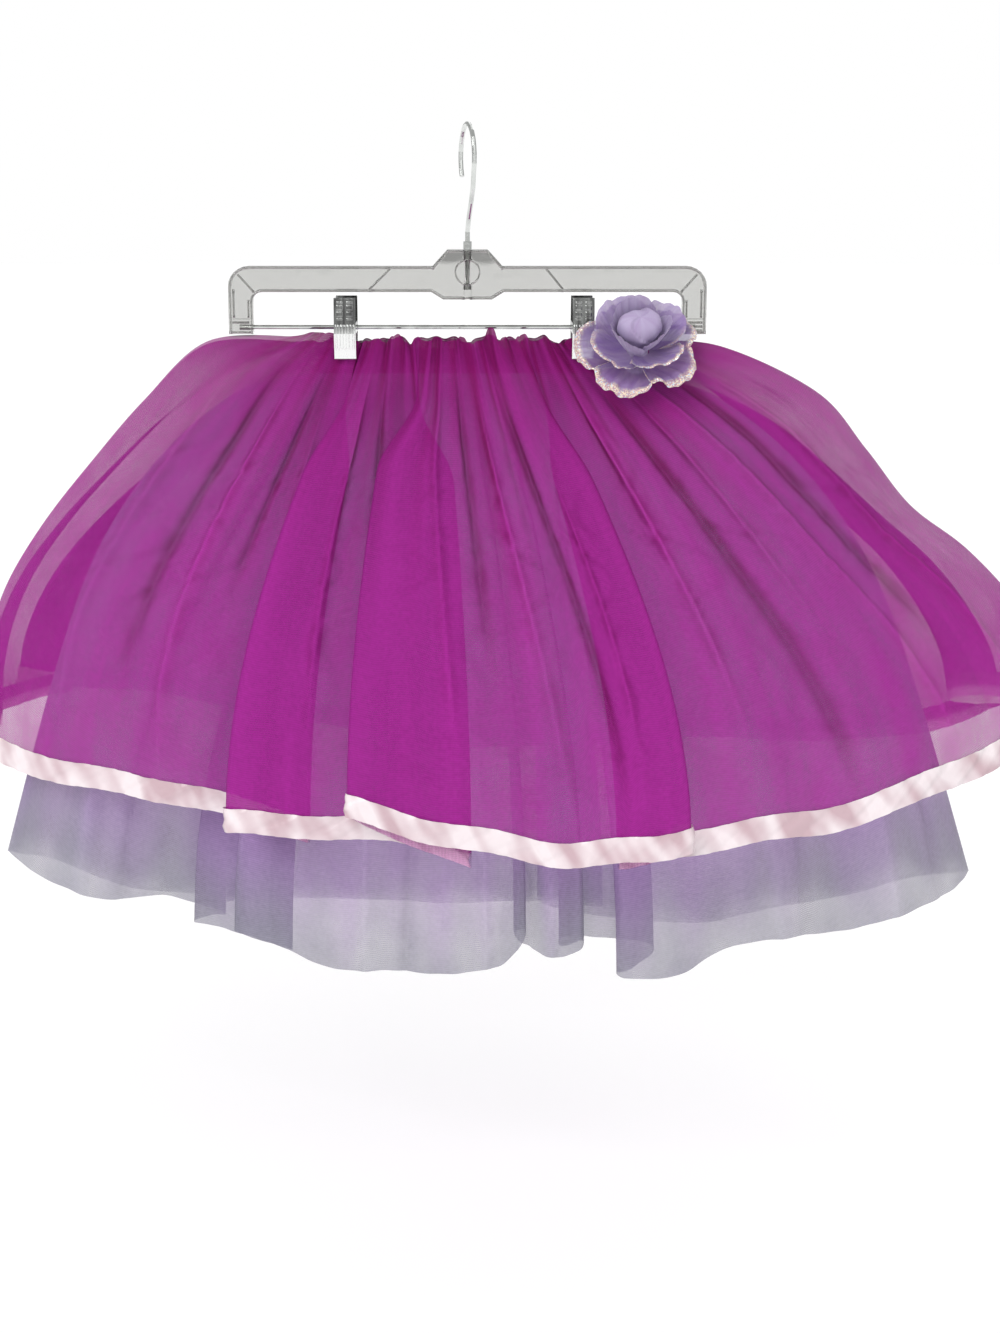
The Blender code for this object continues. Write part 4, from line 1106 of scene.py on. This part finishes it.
def clip_face(name, centre_x, side, material):
    """The clip's embossed face: the jaw's own bent plate, with short bars above and long flutes below.

    Bars and flutes are plateaus with smooth sides, cut from a sine down the plate and a cosine across it.
    """
    across = np.linspace(-1, 1, 65)[:, None]
    down = np.linspace(0, 1, 121)[None, :]
    profile = np.array(JAW_PROFILE)
    steps = np.concatenate([[0], np.cumsum(np.linalg.norm(np.diff(profile, axis=0), axis=1))])
    y = np.interp(down * steps[-1], steps, profile[:, 0]) + JAW_SHEET + FACE_STAND
    z = np.interp(down * steps[-1], steps, profile[:, 1])
    lane = np.abs(np.abs(across) - 0.45)
    short = smooth((0.30 - lane) / 0.08) * smooth((np.abs(np.sin(math.pi * down * 9.5)) - 0.35) / 0.3)
    short = short * smooth((0.36 - down) / 0.03) * smooth((down - 0.05) / 0.03)
    flute = smooth((np.abs(np.cos(math.pi * across * 3.5)) - 0.35) / 0.3)
    flute = flute * smooth((0.90 - np.abs(across)) / 0.06)
    flute = flute * smooth((down - 0.42) / 0.05) * smooth((0.88 - down) / 0.08)
    height = SHORT_BAR_HEIGHT * short + FLUTE_HEIGHT * flute
    rim = smooth((1 - np.abs(across)) / 0.06) * smooth(down / 0.02) * smooth((1 - down) / 0.02)
    y = y + height * rim - FACE_EDGE * (1 - rim)
    x = centre_x + across * (CLIP_WIDTH / 2 + FACE_LAP) + 0 * down
    points = np.stack([x, side * y, z + 0 * across], axis=2)
    dress(sheet_mesh(name, points, flip=side == BACK), material)


# The stage

FLOOR_REACH = 14.0
SKY_SEEN = 1.0
LIGHTS_AIM = Vector((0, 0, -0.35))
CAMERA_AIM = Vector((0, 0, -0.36))
SENSOR_WIDTH = 36.0
CAMERA_SHIFT = (0.0244, -0.0457)


def pale_floor(settings):
    """A round floor, which takes no part in the piece's size."""
    turn = np.linspace(0, 2 * math.pi, 97)[:-1, None]
    reach = np.linspace(0, 1, 24)[None, :] * FLOOR_REACH
    height = settings.floor_z + 0 * reach + 0 * turn
    points = np.stack([reach * np.cos(turn), reach * np.sin(turn), height], axis=2)
    floor = sheet_mesh("floor", points, joined=True)
    recipe = Recipe("pale_floor", base_color=rgba((0.93, 0.93, 0.93)), roughness=0.9)
    recipe.set(emission_color=rgba((1.0, 1.0, 1.0)), emission_strength=settings.floor_glow)
    paint(floor, recipe.material)


def studio_sky(strength):
    """White light from all round, and plain white where the camera sees it."""
    world = bpy.data.worlds.new("studio")
    world.use_nodes = True
    nodes, links = world.node_tree.nodes, world.node_tree.links
    background = nodes["Background"]
    background.inputs["Color"].default_value = rgba((1.0, 1.0, 1.0))
    level = nodes.new("ShaderNodeMapRange")
    level.inputs["To Min"].default_value = strength
    level.inputs["To Max"].default_value = SKY_SEEN
    links.new(nodes.new("ShaderNodeLightPath").outputs["Is Camera Ray"], level.inputs["Value"])
    links.new(level.outputs["Result"], background.inputs["Strength"])
    return world


def soft_light(scene, name, place, spread, strength):
    """A wide sun: a lamp so far off that only its direction and its spread, in degrees, count."""
    light = bpy.data.lights.new(name, "SUN")
    light.angle = math.radians(spread)
    light.energy = strength
    lamp = bpy.data.objects.new(name, light)
    lamp.location = place
    lamp.rotation_euler = (LIGHTS_AIM - Vector(place)).to_track_quat("-Z", "Y").to_euler()
    scene.collection.objects.link(lamp)


def photo_camera(scene, settings):
    """The photograph's view: a lens that looks down at the skirt, shifted to the photograph's frame."""
    lens = bpy.data.cameras.new("camera")
    lens.sensor_fit = "AUTO"
    lens.sensor_width = SENSOR_WIDTH
    lens.lens = settings.lens
    lens.shift_x, lens.shift_y = CAMERA_SHIFT
    camera = bpy.data.objects.new("camera", lens)
    pitch = settings.camera_pitch
    camera.location = CAMERA_AIM + settings.camera_distance * Vector((0, -math.cos(pitch), math.sin(pitch)))
    camera.rotation_euler = (math.radians(90) - pitch, 0, 0)
    scene.collection.objects.link(camera)
    scene.camera = camera


# Settings that a user would change


def colour_setting(name, description, default):
    return FloatVectorProperty(name=name, description=description, subtype="COLOR", size=3, min=0, max=1,
                               default=default)


def share_setting(name, description, default):
    return FloatProperty(name=name, description=description, subtype="FACTOR", min=0, max=1, default=default)


def length_setting(name, description, default):
    return FloatProperty(name=name, description=description, unit="LENGTH", default=default)


def number_setting(name, description, default):
    return FloatProperty(name=name, description=description, min=0, default=default)


class SkirtSettings(bpy.types.PropertyGroup):
    """Sizes and colours of the cloth."""

    magenta_thin: colour_setting("Magenta net", "Colour of one layer of the upper net", (0.325, 0.019, 0.252))
    # The gathered colour is both the net lying many layers deep and painted shade in gather troughs and on
    # crease sides
    magenta_gathered_and_shaded: colour_setting("Gathered magenta", "Colour of the upper net where it is gathered",
                                  (0.205, 0.004, 0.112))
    lavender_thin: colour_setting("Lavender net", "Colour of one layer of the underskirt",
                                  (0.238, 0.228, 0.288))
    lavender_dense: colour_setting("Upper lavender", "Colour of the underskirt above its hem",
                                   (0.335, 0.215, 0.435))
    upper_cover: share_setting("Upper cover", "Share of light that one upper layer stops", 0.76)
    under_cover: share_setting("Under cover", "Share of light that one lavender layer stops", 0.72)
    # Crease light scales the painted highlight on crease ridges and the painted shade on their sides
    crease_light: share_setting("Crease light", "How much lighter its ridges make the net", 0.9)
    bunching: number_setting("Bunching", "How many more layers the net makes where it is gathered", 0.9)
    edge_opening: share_setting("Open edges", "How much of its cover the net loses at the outer edges", 0.12)
    gather_depth: length_setting("Gather depth", "How far the waist's gathers stand out", 0.0016)
    gather_fade: share_setting("Gather fade", "Share of the drop over which gathers fade", 0.13)
    header_flare: length_setting("Header flare", "How far the header's ruffle opens", 0.0014)
    crumple: length_setting("Crumple", "Height of the net's slow waves", 0.0014)
    hem_wave: length_setting("Hem wave", "Height of the waves along the hems", 0.0035)
    ribbon_light: colour_setting("Ribbon", "Colour of the satin ribbon", (0.80, 0.71, 0.735))
    # The ribbon's shade colour is painted shade: the dark bars of the satin's sheen
    ribbon_painted_shade: colour_setting("Ribbon shade", "Colour of the satin where it is pulled", (0.53, 0.37, 0.41))
    ribbon_back: colour_setting("Ribbon back", "Colour of the ribbon's ribbed back", (0.90, 0.50, 0.78))
    ribbon_pucker: length_setting("Ribbon pucker", "Height of the ribbon's puckers", 0.0010)
    elastic: colour_setting("Elastic", "Colour of the waistband's cover", (0.20, 0.02, 0.13))
    elastic_deep: colour_setting("Elastic shade", "Colour of the darker patches of the waistband's cover",
                                 (0.14, 0.012, 0.09))


class FlowerSettings(bpy.types.PropertyGroup):
    """Sizes and colours of the flower."""

    organza: colour_setting("Organza", "Colour of the petals", (0.34, 0.25, 0.43))
    # The petals' shade colour is painted shade along their folds
    organza_fold_shade: colour_setting("Organza shade", "Colour of the petals' folds", (0.22, 0.13, 0.37))
    heart: colour_setting("Heart", "Colour of the bud and the inner petals", (0.43, 0.37, 0.54))
    petal_ruffle: length_setting("Petal ruffle", "Height of the waves of a petal's rim", 0.0028)
    rim_width: share_setting("Glitter rim", "Width of the glitter rim, as a share of the petal", 0.17)


class HangerSettings(bpy.types.PropertyGroup):
    """Sizes and colours of the hanger."""

    steel: colour_setting("Plated steel", "Colour of the hook and the rod", (0.72, 0.74, 0.72))
    plate_bright: colour_setting("Clip plate", "Colour of the clips below the rod", (0.88, 0.89, 0.88))
    # Painted shade: the clips above the rod are darkened for the moulding's shadow
    plate_painted_shade: colour_setting("Shaded plate", "Colour of the clips above the rod", (0.15, 0.15, 0.15))
    rib_radius: length_setting("Rib radius", "Radius of the moulding's ribs", 0.0009)
    bead_radius: length_setting("Bead radius", "Radius of the bead round the moulding's rim", 0.0006)
    rim_width: length_setting("Rim", "From the moulding's outline in to the bead", 0.0012)


class StageSettings(bpy.types.PropertyGroup):
    """The floor, the lights and the camera."""

    floor_z: length_setting("Floor height", "Height of the floor", -0.82)
    floor_glow: number_setting("Floor glow", "How much the white floor adds of its own", 0.10)
    key_strength: number_setting("Key light", "Strength of the soft key light", 1.9)
    fill_strength: number_setting("Fill light", "Strength of the soft fill light", 0.6)
    rim_strength: number_setting("Rim light", "Strength of the soft light from behind", 0.5)
    sky: number_setting("Sky", "Strength of the even light all round", 0.50)
    camera_distance: length_setting("Camera distance", "From the camera to the hanger's middle plane", 1.5)
    camera_pitch: FloatProperty(name="Camera pitch", description="How far the camera looks down",
                                subtype="ANGLE", default=math.radians(13.0))
    lens: FloatProperty(name="Lens", description="Focal length for a 36 mm sensor",
                        unit="CAMERA", default=52.39)


class PieceOperator:
    """What the piece operators share."""

    bl_options = {"REGISTER", "UNDO"}


class SKIRT_OT_upper_net(PieceOperator, bpy.types.Operator):
    """Make the upper layer's front and back panels of magenta net"""

    bl_idname = "skirt.upper_net"
    bl_label = "Upper net"

    def execute(self, context):
        settings = context.scene.skirt
        material = net_material("magenta_net", settings.magenta_thin, settings.magenta_gathered_and_shaded)
        for end, drape in UPPER_DRAPES.items():
            net_panel(f"outer_{end}", drape, settings, material, settings.upper_cover, UPPER_GRID)
        return {"FINISHED"}


class SKIRT_OT_underskirt(PieceOperator, bpy.types.Operator):
    """Make the longer underskirt's front and back panels of lavender net"""

    bl_idname = "skirt.underskirt"
    bl_label = "Underskirt"

    def execute(self, context):
        settings = context.scene.skirt
        material = net_material("lavender_net", settings.lavender_thin, settings.lavender_dense)
        for end, drape in UNDER_DRAPES.items():
            net_panel(f"under_{end}", drape, settings, material, settings.under_cover, UNDER_GRID)
        return {"FINISHED"}


class SKIRT_OT_ribbons(PieceOperator, bpy.types.Operator):
    """Make the satin ribbons along the upper layer's hem"""

    bl_idname = "skirt.ribbons"
    bl_label = "Hem ribbons"

    def execute(self, context):
        settings = context.scene.skirt
        colours = (settings.ribbon_light, settings.ribbon_painted_shade, settings.ribbon_back)
        material = satin_material("pink_satin", *colours)
        for end, drape in UPPER_DRAPES.items():
            panel_points = drape_points(drape, *panel_places(drape, *UPPER_GRID), settings)[0]
            hem_ribbon(f"ribbon_{end}", drape, settings, material, panel_points)
        return {"FINISHED"}


class SKIRT_OT_waistband(PieceOperator, bpy.types.Operator):
    """Finish the elastic waistband inside the gathers"""

    bl_idname = "skirt.waistband"
    bl_label = "Waistband"

    def execute(self, context):
        settings = context.scene.skirt
        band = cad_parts["waistband"]
        paint(band, elastic_material("covered_elastic", settings.elastic, settings.elastic_deep))
        band.visible_shadow = False
        return {"FINISHED"}


class SKIRT_OT_flower(PieceOperator, bpy.types.Operator):
    """Make the organza flower: three rings of petals round a rolled bud"""

    bl_idname = "skirt.flower"
    bl_label = "Flower"

    def execute(self, context):
        settings = context.scene.skirt_flower
        outer = organza_material("organza_glitter", settings.organza, settings.organza_fold_shade)
        inner = organza_material("organza_heart", settings.heart, settings.organza)
        rolled_bud(inner)
        for ring, row in PETAL_RINGS.items():
            for index in range(row[0]):
                petal(ring, index, settings, inner if ring == "inner" else outer)
        return {"FINISHED"}


class SKIRT_OT_hanger(PieceOperator, bpy.types.Operator):
    """Finish the clear moulding with its ribs, the hook, the rod and the clips"""

    bl_idname = "skirt.hanger"
    bl_label = "Hanger"

    def execute(self, context):
        settings = context.scene.skirt_hanger
        plastic = plastic_material("clear_moulding")
        wire = wire_material("drawn_wire", settings.steel)
        plate = plate_material("clip_plate", settings.plate_bright, settings.plate_painted_shade, ROD_Z)
        finishes = {"hanger_frame": plastic, "rod": wire, "hook": wire}
        for name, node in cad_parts.items():
            finish = finishes.get(name, plate if name.startswith("clip_") else None)
            if finish:
                paint(node, finish)
        hanger_ribs(settings, plastic)
        for word, centre_x in CLIP_X.items():
            for end, side in (("front", FRONT), ("back", BACK)):
                clip_face(f"emboss_{word}_{end}", centre_x, side, plate)
        return {"FINISHED"}


class SKIRT_OT_stage(PieceOperator, bpy.types.Operator):
    """Make the pale floor, the soft lights and the camera"""

    bl_idname = "skirt.stage"
    bl_label = "Stage"

    def execute(self, context):
        settings = context.scene.skirt_stage
        scene = context.scene
        pale_floor(settings)
        scene.world = studio_sky(settings.sky)
        soft_light(scene, "key", (-1.3, -1.9, 1.5), 40.0, settings.key_strength)
        soft_light(scene, "fill", (1.8, -1.6, 0.9), 60.0, settings.fill_strength)
        soft_light(scene, "rim", (0.4, 2.0, 1.2), 50.0, settings.rim_strength)
        photo_camera(scene, settings)
        scene.view_settings.view_transform = "Standard"
        scene.cycles.transparent_max_bounces = 48
        scene.cycles.max_bounces = 12
        return {"FINISHED"}


class SKIRT_PT_panel(bpy.types.Panel):
    """Buttons for the skirt's pieces"""

    bl_idname = "SKIRT_PT_panel"
    bl_label = "Hanging tulle skirt"
    bl_space_type = "VIEW_3D"
    bl_region_type = "UI"
    bl_category = "Skirt"

    def draw(self, context):
        for group in (context.scene.skirt, context.scene.skirt_flower, context.scene.skirt_hanger,
                      context.scene.skirt_stage):
            for key in group.__annotations__:
                self.layout.prop(group, key)
        for operator in OPERATORS:
            self.layout.operator(operator.bl_idname)


OPERATORS = (SKIRT_OT_upper_net, SKIRT_OT_underskirt, SKIRT_OT_ribbons, SKIRT_OT_waistband,
             SKIRT_OT_flower, SKIRT_OT_hanger, SKIRT_OT_stage)
GROUPS = {"skirt": SkirtSettings, "skirt_flower": FlowerSettings, "skirt_hanger": HangerSettings,
          "skirt_stage": StageSettings}


def register():
    for kind in (*GROUPS.values(), *OPERATORS, SKIRT_PT_panel):
        bpy.utils.register_class(kind)
    for key, kind in GROUPS.items():
        setattr(bpy.types.Scene, key, PointerProperty(type=kind))


def unregister():
    for key in GROUPS:
        delattr(bpy.types.Scene, key)
    for kind in (SKIRT_PT_panel, *OPERATORS[::-1], *GROUPS.values()):
        bpy.utils.unregister_class(kind)


def main():
    register()
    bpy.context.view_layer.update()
    bpy.ops.skirt.upper_net()
    bpy.ops.skirt.underskirt()
    bpy.ops.skirt.ribbons()
    bpy.ops.skirt.waistband()
    bpy.ops.skirt.flower()
    bpy.ops.skirt.hanger()
    bpy.ops.skirt.stage()


if __name__ == "__main__":
    main()
